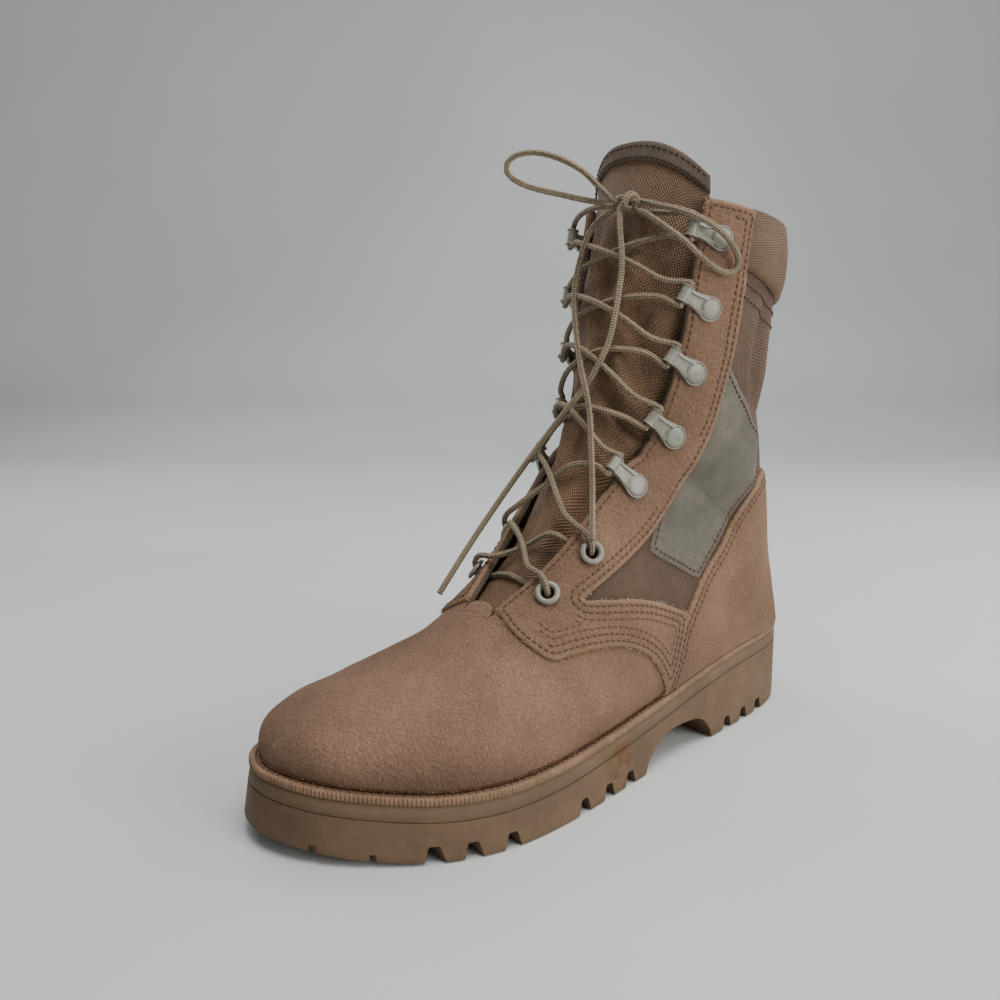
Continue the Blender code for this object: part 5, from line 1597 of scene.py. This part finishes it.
def make_binding():
    """Ribbed tape folded over the tongue's top edge, with two rows of stitches."""
    ups = np.linspace(0, 1, 400)
    middle = tongue_sheet(ups, np.array([0.0]), 0.0)
    gone = arc_lengths(middle)
    share = 1 - np.interp(gone[-1] - BINDING_WIDTH, gone, ups)
    # Front and back from the foot to the fold: share of the width, height off the tongue
    front = [(1.0, 0.0003), (0.985, 0.0011), (0.7, 0.00125), (0.4, 0.0012), (0.12, 0.0012),
             (0.0, 0.0009)]
    back = [(0.0, 0.0006), (0.12, 0.0010), (0.95, 0.0010), (1.0, 0.0001)]
    levels = [(1 - share * down, lift) for down, lift in front]
    levels += [(1 - share * down, -TONGUE_THICKNESS - lift) for down, lift in back]
    rings, uv = [], []
    fine = np.linspace(-1, 1, 121)
    width = 0.0
    for up, lift in levels:
        points = tongue_sheet(np.array([up]), fine, lift)
        rings.append(points)
        gone = arc_lengths(points)
        width += 0.0016
        uv.append(np.stack([np.full(len(gone), width), gone], 1))
    top = len(front)
    over = (rings[top - 1] + rings[top]) / 2
    over += rings[top - 1] - rings[top - 2]
    rings.insert(top, over)
    uv.insert(top, (uv[top - 1] + uv[top]) / 2)
    quads = grid_quads(len(rings), len(fine))[:, ::-1]
    made = mesh_object("tongue_binding", np.vstack(rings), quads,
                       surface("Ribbed binding"), np.vstack(uv))
    settle(made, "tongue_binding", slot="nylon")
    starts, ends = [], []
    for back_share in (0.22, 0.80):
        row = tongue_sheet(np.array([1 - share * back_share]), fine * 0.97, 0.00125)
        first, last = stitch_spots(row)
        starts += first
        ends += last
    settle(capsules("binding_stitches", starts, ends, sizes().thread_radius,
                    surface("Dark thread")), slot="cord")


# ---- sole ----

STATIONS = 360
JOINT_GROOVE = 0.0007
# Middle of the brown stain on the sole's outer side
STAIN = (0.113, 0.047, 0.014)


def ring_at(inset, height, count):
    """A level line round the sole, moved in by inset(x) and lifted to height(x)."""
    turn = np.arange(count) * 2 / count
    flat = inset_point(turn, inset)
    z = np.broadcast_to(height(flat[:, 0]), len(flat))
    return np.stack([flat[:, 0] - HEEL_SETBACK, flat[:, 1], z], 1)


def capped(name, rings, material, uv=None):
    """A closed form through rings, its two ends closed by strips from side to side."""
    count = len(rings[0])
    faces = grid_quads(len(rings), count, around=True).tolist()
    half = count // 2
    for ring, turned in ((0, True), (len(rings) - 1, False)):
        base = ring * count
        for i in range(half):
            corners = [i, i + 1, (count - i - 1) % count, (count - i) % count]
            face = list(dict.fromkeys(base + c for c in corners))
            if len(face) > 2:
                faces.append(face[::-1] if turned else face)
    return mesh_object(name, np.vstack(rings), faces, material, uv)


def tread_cutters():
    """Outlines and widths of the arch, and of the notches and slits in both edges."""
    below = -0.01
    prisms = []
    for stations, profile in ((NOTCHES, "notch"), (SLITS, "slit")):
        for station in stations:
            x = station * SOLE_LENGTH
            base = float(spring([x])[0])
            if profile == "notch":
                m, r, d = NOTCH_MOUTH / 2, NOTCH_ROOT / 2, NOTCH_DEPTH
                outline = [(x - m, base + below), (x - m, base - 0.0002), (x - r, base + d * 0.86),
                           (x - r * 0.7, base + d), (x + r * 0.7, base + d),
                           (x + r, base + d * 0.86), (x + m, base - 0.0002), (x + m, base + below)]
            else:
                h = SLIT_WIDTH / 2
                outline = [(x - h, base + below), (x - h, base + SLIT_DEPTH),
                           (x + h, base + SLIT_DEPTH), (x + h, base + below)]
            turn = math.acos(1 - 2 * station) / math.pi
            for side, at in ((1, turn), (-1, 2 - turn)):
                edge = float(outline_point(at)[0, 1])
                prisms.append((outline, *sorted((edge - side * NOTCH_REACH, edge + side * 0.01))))
    arch = [(a * SOLE_LENGTH, b * ARCH_HEIGHT) for a, b in ARCH]
    arch = table_at(arch, np.linspace(0, len(arch) - 1, 36)).tolist()
    return [[(arch, -BALL_WIDTH, BALL_WIDTH)], prisms]


def cut_away(made, prisms):
    """Cuts blocks, each an outline seen from the side between two widths, from a piece."""
    points, faces = [], []
    for outline, low, high in prisms:
        start, count = len(points), len(outline)
        points += [(x - HEEL_SETBACK, low, z) for x, z in outline]
        points += [(x - HEEL_SETBACK, high, z) for x, z in outline]
        faces.append([start + i for i in range(count)])
        faces.append([start + count + i for i in reversed(range(count))])
        for i in range(count):
            j = (i + 1) % count
            faces.append([start + j, start + i, start + count + i, start + count + j])
    cutter = mesh_object("cutter", points, faces, made.data.materials[0])
    modifier = made.modifiers.new("cut", "BOOLEAN")
    modifier.operation = "DIFFERENCE"
    modifier.object = cutter
    modifier.solver = "EXACT"
    bpy.context.view_layer.update()
    graph = bpy.context.evaluated_depsgraph_get()
    mesh = bpy.data.meshes.new_from_object(made.evaluated_get(graph))
    made.modifiers.clear()
    old = made.data
    made.data = mesh
    bpy.data.meshes.remove(old)
    bpy.data.objects.remove(cutter)


def make_outsole():
    """The rubber bottom, with its arch, notches and slits cut away."""
    material = surface("Outsole rubber")
    shares = [0.0, 0.12, 0.3, 0.5, 0.75, 1.0]
    small = SOLE_ROUNDING * 0.3
    rings = [ring_at(lambda x: SOLE_ROUNDING, spring, STATIONS),
             ring_at(lambda x: small, lambda x: spring(x) + small, STATIONS)]
    for share in shares:
        height = lambda x: (spring(x) + SOLE_ROUNDING) * (1 - share) + midsole_base(x) * share
        rings.append(ring_at(lambda x: wall_inset(x, height(x)), height, STATIONS))
    made = capped("outsole", rings, material)
    for prisms in tread_cutters():
        cut_away(made, prisms)
    settle(sharpen(made), "outsole", slot="rubber")


def make_midsole():
    """The band between outsole and welt, with a groove at its foot and the raised bed on top."""
    base = lambda x: midsole_base(x) - 0.0002
    near_top = lambda x: rubber_top(x) - 0.003
    foot = lambda x: wall_inset(x, midsole_base(x))
    bed = lambda x: feather_inset(x) + WELT_BED + GAP
    levels = [
        (lambda x: foot(x) + JOINT_GROOVE, base),
        (lambda x: foot(x) + 0.0001, lambda x: base(x) + 0.0009),
        (lambda x: wall_inset(x, near_top(x)) + 0.0001, near_top),
        (lambda x: flare(x) + GAP, lambda x: rubber_top(x) - 0.0009),
        (lambda x: flare(x) + 0.0008, rubber_top),
        (bed, rubber_top),
        (bed, sole_top),
    ]
    rings = [ring_at(inset, height, STATIONS) for inset, height in levels]
    made = capped("midsole", rings, surface("Midsole rubber"))
    settle(sharpen(made, 50), "midsole", slot="rubber")


def make_welt():
    """The strip round the upper's foot, its edge pressed into fine ribs."""
    count = 3000
    edge = inset_point(np.arange(count) * 2 / count, flare)
    gone = arc_lengths(np.vstack([edge, edge[:1]]))
    ribs = round(gone[-1] / sizes().rib_pitch)
    wave = np.sin(gone[:-1] / gone[-1] * 2 * math.pi * ribs)
    # The ribs stand out round the toe and are nearly worn away behind the arch
    toe = np.clip((edge[:, 0] / SOLE_LENGTH - 0.45) / 0.3, 0.15, 1)
    uneven = hash_noise(np.column_stack([edge, edge[:, 0] * 0]), 0.006)
    depth = 0.00026 * wave * toe + 0.00012 * uneven
    # Up the strip's edge, over its top and down inside: inset, height and depth of the ribs
    levels = [
        (lambda x: flare(x) + 0.0006, lambda x: rubber_top(x) + 0.0001, 0.0),
        (lambda x: flare(x) + 0.0001, lambda x: rubber_top(x) + 0.0003, 0.5),
        (lambda x: flare(x) - 0.0001, lambda x: rubber_top(x) + 0.0008, 1.0),
        (lambda x: flare(x) - 0.0001, lambda x: sole_top(x) - 0.0006, 1.0),
        (lambda x: flare(x) + 0.0003, lambda x: sole_top(x) - 0.0001, 0.9),
        (lambda x: flare(x) + 0.0010, sole_top, 0.5),
        (lambda x: feather_inset(x) + WELT_BED, sole_top, 0.0),
        (lambda x: feather_inset(x) + WELT_BED, lambda x: rubber_top(x) + GAP, 0.0),
    ]
    rings = []
    for inset, height, share in levels:
        ring = ring_at(inset, height, count)
        ahead = np.roll(ring, -1, axis=0) - np.roll(ring, 1, axis=0)
        ahead /= np.linalg.norm(ahead[:, :2], axis=1)[:, None]
        ring[:, 0] += ahead[:, 1] * depth * share
        ring[:, 1] -= ahead[:, 0] * depth * share
        rings.append(ring)
    rings.append(rings[0])
    faces = grid_quads(len(rings), count, around=True)
    made = mesh_object("welt", np.vstack(rings), faces, surface("Ribbed welt strip"))
    settle(made, "welt", slot="strip")
    line = ring_at(lambda x: (flare(x) + feather_inset(x)) / 2 + 0.0002,
                   lambda x: sole_top(x) + 0.0001, 900)
    starts, ends = stitch_spots(np.vstack([line, line[:1]]))
    settle(capsules("welt_stitches", starts, ends, sizes().thread_radius * 1.3,
                    surface("Tan thread")), slot="cord")
    foot = ring_at(lambda x: feather_inset(x) - 0.0002, lambda x: sole_top(x) + 0.0008, 2400)
    ahead = unit(np.roll(foot, -1, axis=0) - np.roll(foot, 1, axis=0))
    outward = np.stack([-ahead[:, 1], ahead[:, 0], ahead[:, 2] * 0], 1)
    up = np.tile([0.0, 0.0, 1.0], (len(foot), 1))
    fray("feather_fray", foot, up, outward, int(sizes().fuzz * 9), 0.0016, 3)
    make_lasted_edge()


def make_lasted_edge():
    """The raw suede edge rolled out over the welt, all round."""
    count = 1200
    rings = []
    for inset, height in ((-0.0002, 0.0001), (-0.0008, 0.0003), (-0.0009, 0.0009),
                          (-0.0005, 0.0014), (0.0006, 0.0016)):
        ring = ring_at(lambda x: feather_inset(x) + inset, lambda x: sole_top(x) + height, count)
        jitter = hash_noise(ring, 0.0035, 8)[:, None] * 0.00025
        rings.append(ring + jitter * [1.0, 1.0, 0.6])
    faces = grid_quads(len(rings), count, around=True)
    settle(mesh_object("lasted_edge", np.vstack(rings), faces, surface("Cut suede edge")),
           slot="suede")


def make_insole():
    """Cloth-covered foam, clear of the wall and a little dished towards its middle."""
    count = 240
    clear = lambda x: feather_inset(x) + WALL + 0.0026
    rings = [ring_at(clear, lambda x: sole_top(x) + GAP, count)]
    for step, sink in ((0.0, 0.0), (0.0012, -0.0004), (0.006, 0.0003), (0.014, 0.0008)):
        rings.append(ring_at(lambda x: clear(x) + step,
                             lambda x: sole_top(x) + INSOLE_THICKNESS - sink, count))
    uv = np.vstack(rings)[:, :2]
    made = capped("insole", rings, surface("Insole cloth"), uv)
    settle(made, "insole", slot="foam")


# ---- eyelets and hooks ----


def lathe(profile, steps, place):
    """Rings of a turned form about z, moved to a place, with its quads."""
    points = []
    for radius, height in profile:
        for k in range(steps):
            angle = 2 * math.pi * k / steps
            spot = Vector((radius * math.cos(angle), radius * math.sin(angle), height))
            points.append(tuple(place @ spot))
    return points, grid_quads(len(profile), steps, around=True).tolist()


def make_eyelets():
    """The rolled rings of the lower two rows."""
    enamel = surface("Baked enamel")
    for name, place in eyelet_frames().items():
        # A rolled ring, then the barrel through the leather and its flange inside
        middle = EYELET_HOLE + EYELET_RING
        profile = []
        for k in range(13):
            angle = math.pi * (1.15 * k / 12) - 0.15 * math.pi
            profile.append((middle + EYELET_RING * math.cos(angle),
                            EYELET_RING * math.sin(angle) * 0.9))
        profile += [(EYELET_HOLE * 0.98, -0.0010), (EYELET_HOLE * 0.96, -0.0046),
                    (EYELET_HOLE + 0.0018, -0.0050)]
        points, faces = lathe(profile, 40, place)
        made = mesh_object(f"eyelet_{name}", points, faces, enamel)
        settle(made, f"eyelet_{name}", slot="enamel")


def hook_parts():
    """The hook's parts about its button, before they are moved to their places."""
    # The button's turned profile: foot, rolled rim, groove and domed middle
    r, t = HOOK_BUTTON_RADIUS, HOOK_BUTTON_THICKNESS
    button = [(0.0001, -0.0004), (r * 0.86, -0.0004), (r * 0.97, 0.0002), (r, t * 0.35),
              (r * 0.99, t * 0.66), (r * 0.96, t * 0.80), (r * 0.91, t * 0.84),
              (r * 0.87, t * 0.80), (r * 0.855, t * 0.52), (r * 0.825, t * 0.52),
              (r * 0.81, t * 0.86), (r * 0.78, t * 0.98), (r * 0.50, t * 1.10), (0.0001, t * 1.13)]
    points, faces = lathe(button, 36, Matrix.Identity(4))
    # The neck from button to tube: length, half width, and a channel along its top
    lengths = [0.0030, 0.0055, 0.0075, 0.0095, 0.0115, 0.0130, 0.0142]
    halves = [0.0049, 0.0044, 0.0039, 0.0035, 0.0034, 0.0036, 0.0038]
    rings = []
    for x, half in zip(lengths, halves):
        top = HOOK_RISE * 1.22 + 0.0007 * min(1.0, (x - 0.003) / 0.008)
        low = HOOK_RISE * 0.35
        rings.append([
            (x, -half, low), (x, -half * 1.04, (low + top) / 2), (x, -half * 0.92, top),
            (x, -half * 0.56, top + 0.0002), (x, -half * 0.46, top - 0.0006), (x, 0, top - 0.0007),
            (x, half * 0.46, top - 0.0006), (x, half * 0.56, top + 0.0002), (x, half * 0.92, top),
            (x, half * 1.04, (low + top) / 2), (x, half, low), (x, 0, low),
        ])
    start = len(points)
    points += [p for ring in rings for p in ring]
    count = len(rings[0])
    faces += [[start + i for i in quad] for quad in grid_quads(len(rings), count, around=True)]
    faces.append([start + i for i in reversed(range(count))])
    faces.append([start + (len(rings) - 1) * count + i for i in range(count)])
    # The tube, with a bead round each end
    half, out, bore = HOOK_TUBE_LENGTH * 0.43, HOOK_TUBE_RADIUS, HOOK_BORE
    end = [(0.96, 0.78), (1.12, 0.86), (1.20, 0.94), (1.12, 1.0)]
    spool = [(bore, -half), *((out * a, -half * b) for a, b in reversed(end)), (out * 0.92, 0.0),
             *((out * a, half * b) for a, b in end), (bore, half), (bore, -half)]
    lie_down = Matrix.Translation((HOOK_REACH, 0, HOOK_RISE)) @ Matrix.Rotation(math.pi / 2, 4, "X")
    more, tube_faces = lathe(spool, 28, lie_down)
    start = len(points)
    points += more
    faces += [[start + i for i in quad] for quad in tube_faces]
    return points, faces


def hook_seat(hook, side):
    """A hook's frame on the eyestay."""
    return seat(*hook, side, GAP + SUEDE + GAP)


def make_hooks():
    """The five hooks of each side."""
    points, faces = hook_parts()
    for side_name, side in SIDES.items():
        for number, hook in enumerate(HOOKS, 1):
            name = f"lace_hook_{side_name}_{number}"
            place = hook_seat(hook, side)
            made = mesh_object(name, [place @ Vector(p) for p in points], faces,
                               surface("Baked enamel"))
            settle(sharpen(made, 50), name, slot="enamel")


# ---- laces ----

CORD_SIDES = 14
CORD_PITCH = 0.0007
BRAID_STRANDS = 4
BRAID_TURN = 0.0042


def cord_mesh(route, radius):
    """A braided round cord along a route: points, quads and uv in metres."""
    route = even_route(route, CORD_PITCH)
    _, across, other = frames_along(route)
    gone = arc_lengths(route)[:, None]
    angle = np.arange(CORD_SIDES) * 2 * math.pi / CORD_SIDES
    twist = gone * 2 * math.pi / BRAID_TURN
    strand = np.maximum(np.sin(angle * BRAID_STRANDS + twist),
                        np.sin(angle * BRAID_STRANDS - twist))
    size = radius * (0.93 + 0.09 * strand)
    out = across[:, None] * np.cos(angle)[:, None] + other[:, None] * np.sin(angle)[:, None]
    points = route[:, None] + size[..., None] * out
    uv = np.stack(np.broadcast_arrays(angle * radius, gone), -1)
    faces = grid_quads(len(route), CORD_SIDES, around=True).tolist()
    faces.append(list(range(CORD_SIDES))[::-1])
    faces.append([(len(route) - 1) * CORD_SIDES + k for k in range(CORD_SIDES)])
    return points.reshape(-1, 3), faces, uv.reshape(-1, 2)


def cord_piece(name, routes, radius, *nodes):
    """Braided cords along routes as one piece."""
    points, faces, uv = joined(cord_mesh(route, radius) for route in routes)
    made = mesh_object(name, points, faces, surface("Lace braid"), uv, weld=0)
    return settle(made, *nodes, slot="cord")


def over_tongue(low, high, side, over, bow):
    """Points of one run of lace to the other side's next row, curved by its slack."""
    points = []
    steps = 8
    for i in range(1, steps):
        share = i / steps
        middle = 4 * share * (1 - share)
        place = low + (high - low) * share + bow * middle
        turn = side * float(throat([place])[0]) * (1 - 2 * share)
        sunk = middle**2
        on_edge = GAP + SUEDE + GAP + LACE_RADIUS
        key = (np.array([place]), np.array([turn]))
        lift = LACE_RADIUS + 0.0013 + (0.0034 if over else 0.0)
        on_tongue = lift - float(tongue_depth(*key)[0])
        points.append(skin(*key, on_edge + (on_tongue - on_edge) * sunk)[0])
    return points


def lace_route(side):
    """Up the boot from the lowest eyelet, changing sides at every row."""
    above_ring = GAP + SUEDE + 3 * GAP + 2 * EYELET_RING + LACE_RADIUS
    past_ring = EYELET_HOLE + 2 * EYELET_RING + LACE_RADIUS
    half = HOOK_TUBE_LENGTH / 2 + LACE_RADIUS * 0.8
    points = []
    now = side
    rows = EYELETS + HOOKS
    rng = random.Random(20 + side)
    for number, row in enumerate(rows):
        up = -now
        if number < len(EYELETS):
            # Under the wall, up through the hole and out over the ring
            place = seat(*row, now, above_ring)
            deep = -above_ring - WALL - 0.0022
            if number == 0:
                edge = float(throat([row[0]])[0])
                for share in (0.0, 0.35, 0.7):
                    key = (np.array([row[0] - 0.1]), np.array([now * edge * share]))
                    points.append(skin(*key, LACE_RADIUS * 1.1 - float(tongue_depth(*key)[0]))[0])
            points.append(place @ Vector((past_ring * 0.75, -up * 0.0012, deep)))
            points.append(place @ Vector((0.0006, 0, deep * 0.80)))
            points.append(place @ Vector((0, 0, deep * 0.35)))
            points.append(place @ Vector((0.0007, up * 0.0004, -0.0008)))
            points.append(place @ Vector((past_ring * 0.50, up * 0.0018, 0.0002)))
            points.append(place @ Vector((past_ring, up * 0.0034, -0.0004)))
        else:
            # Straight through the tube
            place = hook_seat(row, now)
            for at in (-half * 1.12, -half * 0.55, half * 0.55, half * 1.12):
                points.append(place @ Vector((HOOK_REACH, up * at, HOOK_RISE)))
        if number + 1 < len(rows):
            bow = rng.uniform(-0.28, 0.10) if number > 1 else -0.05
            points += over_tongue(row[0], rows[number + 1][0], now, (number + (side > 0)) % 2, bow)
            now = -now
    last = RUN_OUTER if now > 0 else RUN_INNER
    return [tuple(p) for p in points] + list(last)


def relaxed(route, held, reach):
    """A route with its corners eased, held still near given points."""
    route = even_route(route, 0.0006)
    free = np.ones(len(route), bool)
    for point in held:
        free &= np.linalg.norm(route - point, axis=1) > reach
    free[[0, -1]] = False
    for _ in range(70):
        middle = (route[:-2] + route[2:]) / 2
        route[1:-1] += np.where(free[1:-1, None], (middle - route[1:-1]) * 0.5, 0.0)
    return route


def make_lacing():
    """Both laces, eased between the tubes and rings that hold them."""
    held = []
    for side in SIDES.values():
        for hook in HOOKS:
            place = hook_seat(hook, side)
            for at in (-0.003, 0, 0.003):
                held.append(np.array(place @ Vector((HOOK_REACH, at, HOOK_RISE))))
        for eyelet in EYELETS:
            held.append(np.array(seat(*eyelet, side, 0.0).translation))
    routes = [relaxed(smooth_route(lace_route(side), 6), held, 0.0028) for side in SIDES.values()]
    cord_piece("lacing", routes, LACE_RADIUS * 0.94, "lacing")


def about_knot(points):
    """Points given in mm along the knot's axis, up and across from its middle."""
    axis = Vector(KNOT_AXIS).normalized()
    up = Vector((0, 0, 1))
    up = (up - axis * up.dot(axis)).normalized()
    third = axis.cross(up)
    return [tuple(Vector(KNOT_CENTRE) + axis * a / 1000 + up * b / 1000 + third * c / 1000)
            for a, b, c in points]


KNOT_WRAP = [
    (-6.5, -0.4, 2.4), (-5.6, 1.8, 1.6), (-4.6, 2.6, -0.6), (-3.6, 1.0, -2.6), (-2.6, -1.6, -2.4),
    (-1.8, -2.8, 0.0), (-1.0, -1.6, 2.5), (0.2, 1.0, 2.9), (1.4, 2.8, 1.0), (2.4, 2.2, -1.6),
    (3.4, -0.4, -2.8), (4.4, -2.4, -1.2), (5.4, -2.0, 1.4), (6.6, -0.2, 2.4),
]
KNOT_CORE = [(-8.0, 0.6, 0.4), (-5.0, 0.2, 0.0), (-2.0, -0.2, -0.3), (2.0, 0.3, 0.2),
             (5.0, 0.0, 0.0), (8.0, -0.5, -0.3)]
KNOT_OVER = [(2.8, -1.8, -3.0), (1.6, -3.2, -0.6), (0.4, -3.0, 2.2), (-0.6, -0.8, 3.8),
             (-0.4, 2.0, 3.2), (0.6, 3.6, 0.8), (1.8, 3.0, -1.8)]


def make_bow():
    """The knot, and the free loops and ends that leave it."""
    wraps = [smooth_route(about_knot(line), 8) for line in (KNOT_WRAP, KNOT_CORE, KNOT_OVER)]
    axis = Vector(KNOT_AXIS).normalized()
    # Each cord that reaches the knot is led on into its middle
    for line in (RUN_OUTER[::-1], RUN_INNER[::-1], LOOP_OUTER, LOOP_OUTER[::-1], LOOP_INNER,
                 LOOP_INNER[::-1], END_OUTER, END_INNER):
        first, second = Vector(line[0]), Vector(line[1])
        away = (first - second).normalized()
        along = max(-0.0045, min(0.0045, (first - Vector(KNOT_CENTRE)).dot(axis)))
        core = Vector(KNOT_CENTRE) + axis * along
        leave = first + away * min(0.003, (first - core).length * 0.5)
        wraps.append(smooth_route([tuple(first - away * 0.001), tuple(first), tuple(leave),
                                   tuple(core)], 6))
    knot = cord_piece("lace_knot", wraps, LACE_RADIUS * 0.92, "lace_knot")
    for name, route, far_end in (
        ("lace_loop_outer", LOOP_OUTER, "object"), ("lace_loop_inner", LOOP_INNER, "object"),
        ("lace_end_outer", END_OUTER, "bare"), ("lace_end_inner", END_INNER, "bare"),
    ):
        path = even_route(smooth_route(route, 8), 0.004)
        path = smooth_route(path, 3)
        made = cord_piece(name, [path], LACE_RADIUS * 0.96, name)


# ---- camera, lights and floor ----

EYE = (0.40861, 0.34138, 0.21114)
LOOK = (-0.60863, -0.77028, -0.19036)
ROLL = -0.00554
LENS = 36.0

# The sweep's half width, its profile as y and z, and its turn that faces the camera
SWEEP_WIDTH = 3.0
SWEEP = [(3.0, 0.0), (-0.9, 0.0), (-1.15, 0.05), (-1.25, 0.20), (-1.28, 2.6)]
SWEEP_TURN = -38.3
# Lamps: name, place, watts and colour
LAMPS = [
    ("key", (0.20, 0.30, 1.30), 12.0, (1.0, 0.97, 0.93)),
    ("fill", (-0.15, 1.05, 0.45), 9.0, (1.0, 0.97, 0.93)),
    ("back", (-0.70, 0.20, 0.70), 5.5, (1.0, 1.0, 1.0)),
    ("far", (0.10, -0.90, 0.80), 4.0, (1.0, 1.0, 1.0)),
]
LAMP_SIZE = 0.8
LAMPS_AIM = (0.09, 0.0, 0.12)
SKY = "#dfe4e6"
SKY_STRENGTH = 0.34


def make_camera():
    """The camera as solved from the photo."""
    look = Vector(LOOK).normalized()
    right = look.cross(Vector((0, 0, 1))).normalized()
    up = right.cross(look)
    c, s = math.cos(ROLL), math.sin(ROLL)
    right, up = right * c + up * s, up * c - right * s
    data = bpy.data.cameras.new("camera")
    data.lens = data.sensor_width = LENS
    data.sensor_fit = "HORIZONTAL"
    data.clip_start = 0.01
    camera = link(bpy.data.objects.new("camera", data))
    camera.matrix_world = Matrix((right, up, -look)).transposed().to_4x4()
    camera.location = EYE
    bpy.context.scene.camera = camera


def make_stage():
    """The pale sweep, four lamps and a dim even sky."""
    points = [(x, y, z - 0.0002) for x in (-SWEEP_WIDTH, SWEEP_WIDTH) for y, z in SWEEP]
    floor = mesh_object("floor", points, grid_quads(2, len(SWEEP)), surface("Studio floor"))
    floor.data.transform(Matrix.Rotation(math.radians(SWEEP_TURN), 4, "Z"))
    for name, place, power, colour in LAMPS:
        data = bpy.data.lights.new(name, "AREA")
        data.shape = "DISK"
        data.size = LAMP_SIZE
        data.energy = power
        data.color = colour
        lamp = link(bpy.data.objects.new(name, data))
        lamp.location = place
        aim = Vector(LAMPS_AIM) - Vector(place)
        lamp.rotation_euler = aim.to_track_quat("-Z", "Y").to_euler()
    world = bpy.context.scene.world or bpy.data.worlds.new("World")
    bpy.context.scene.world = world
    world.use_nodes = True
    nodes = world.node_tree.nodes
    back = nodes.get("Background") or nodes.new("ShaderNodeBackground")
    back.inputs["Color"].default_value = (*linear(SKY), 1.0)
    back.inputs["Strength"].default_value = SKY_STRENGTH


# ---- operators and panel ----


class BOOT_OT_stage(bpy.types.Operator):
    """Camera, lights and the pale floor"""

    bl_idname = "boot.stage"
    bl_label = "Stage"

    def execute(self, context):
        make_camera()
        make_stage()
        return {"FINISHED"}


class BOOT_OT_bow(bpy.types.Operator):
    """The knot, its two loops and its two ends"""

    bl_idname = "boot.bow"
    bl_label = "Bow"

    def execute(self, context):
        make_bow()
        return {"FINISHED"}


class BOOT_OT_lacing(bpy.types.Operator):
    """Both laces from the eyelets to the top hooks"""

    bl_idname = "boot.lacing"
    bl_label = "Lacing"

    def execute(self, context):
        make_lacing()
        return {"FINISHED"}


class BOOT_OT_upper(bpy.types.Operator):
    """Vamp, quarters, lining and the opening's rim"""

    bl_idname = "boot.upper"
    bl_label = "Upper"

    def execute(self, context):
        make_upper()
        return {"FINISHED"}


class BOOT_OT_eyestays(bpy.types.Operator):
    """Suede facings with their wings, stitches and frayed edges"""

    bl_idname = "boot.eyestays"
    bl_label = "Eyestays"

    def execute(self, context):
        for side_name in SIDES:
            make_eyestay(side_name)
        return {"FINISHED"}


class BOOT_OT_tapes(bpy.types.Operator):
    """Slanting web tape on each side"""

    bl_idname = "boot.tapes"
    bl_label = "Ankle tapes"

    def execute(self, context):
        for side_name in SIDES:
            make_tape(side_name)
        return {"FINISHED"}


class BOOT_OT_counter(bpy.types.Operator):
    """Suede piece round the heel"""

    bl_idname = "boot.counter"
    bl_label = "Heel counter"

    def execute(self, context):
        make_counter()
        return {"FINISHED"}


class BOOT_OT_collar(bpy.types.Operator):
    """Padded band round the back of the top"""

    bl_idname = "boot.collar"
    bl_label = "Collar"

    def execute(self, context):
        make_collar()
        return {"FINISHED"}


class BOOT_OT_tongue(bpy.types.Operator):
    """Tongue with its folds and binding"""

    bl_idname = "boot.tongue"
    bl_label = "Tongue"

    def execute(self, context):
        make_tongue()
        return {"FINISHED"}


class BOOT_OT_sole(bpy.types.Operator):
    """Outsole, midsole, welt and insole"""

    bl_idname = "boot.sole"
    bl_label = "Sole"

    def execute(self, context):
        make_outsole()
        make_midsole()
        make_welt()
        make_insole()
        return {"FINISHED"}


class BOOT_OT_fastenings(bpy.types.Operator):
    """Rolled eyelets and enamelled lace hooks"""

    bl_idname = "boot.fastenings"
    bl_label = "Eyelets and hooks"

    def execute(self, context):
        make_eyelets()
        make_hooks()
        return {"FINISHED"}


STEPS = [
    BOOT_OT_stage,
    BOOT_OT_bow,
    BOOT_OT_lacing,
    BOOT_OT_upper,
    BOOT_OT_eyestays,
    BOOT_OT_tapes,
    BOOT_OT_counter,
    BOOT_OT_collar,
    BOOT_OT_tongue,
    BOOT_OT_sole,
    BOOT_OT_fastenings,
]


class BOOT_PT_panel(bpy.types.Panel):
    """Lists the boot's sizes, colours and pieces"""

    bl_label = "Combat boot"
    bl_space_type = "VIEW_3D"
    bl_region_type = "UI"
    bl_category = "Boot"

    def draw(self, context):
        for key in BootSizes.__annotations__:
            self.layout.prop(context.scene.boot_sizes, key)
        for key in BootColours.__annotations__:
            self.layout.prop(context.scene.boot_colours, key)
        for step in STEPS:
            self.layout.operator(step.bl_idname)


CLASSES = [BootSizes, BootColours, *STEPS, BOOT_PT_panel]


def register():
    for made in CLASSES:
        bpy.utils.register_class(made)
    bpy.types.Scene.boot_sizes = bpy.props.PointerProperty(type=BootSizes)
    bpy.types.Scene.boot_colours = bpy.props.PointerProperty(type=BootColours)


def unregister():
    del bpy.types.Scene.boot_colours
    del bpy.types.Scene.boot_sizes
    for made in reversed(CLASSES):
        bpy.utils.unregister_class(made)


def main():
    register()
    for step in STEPS:
        group, name = step.bl_idname.split(".")
        getattr(getattr(bpy.ops, group), name)()


if __name__ == "__main__":
    main()
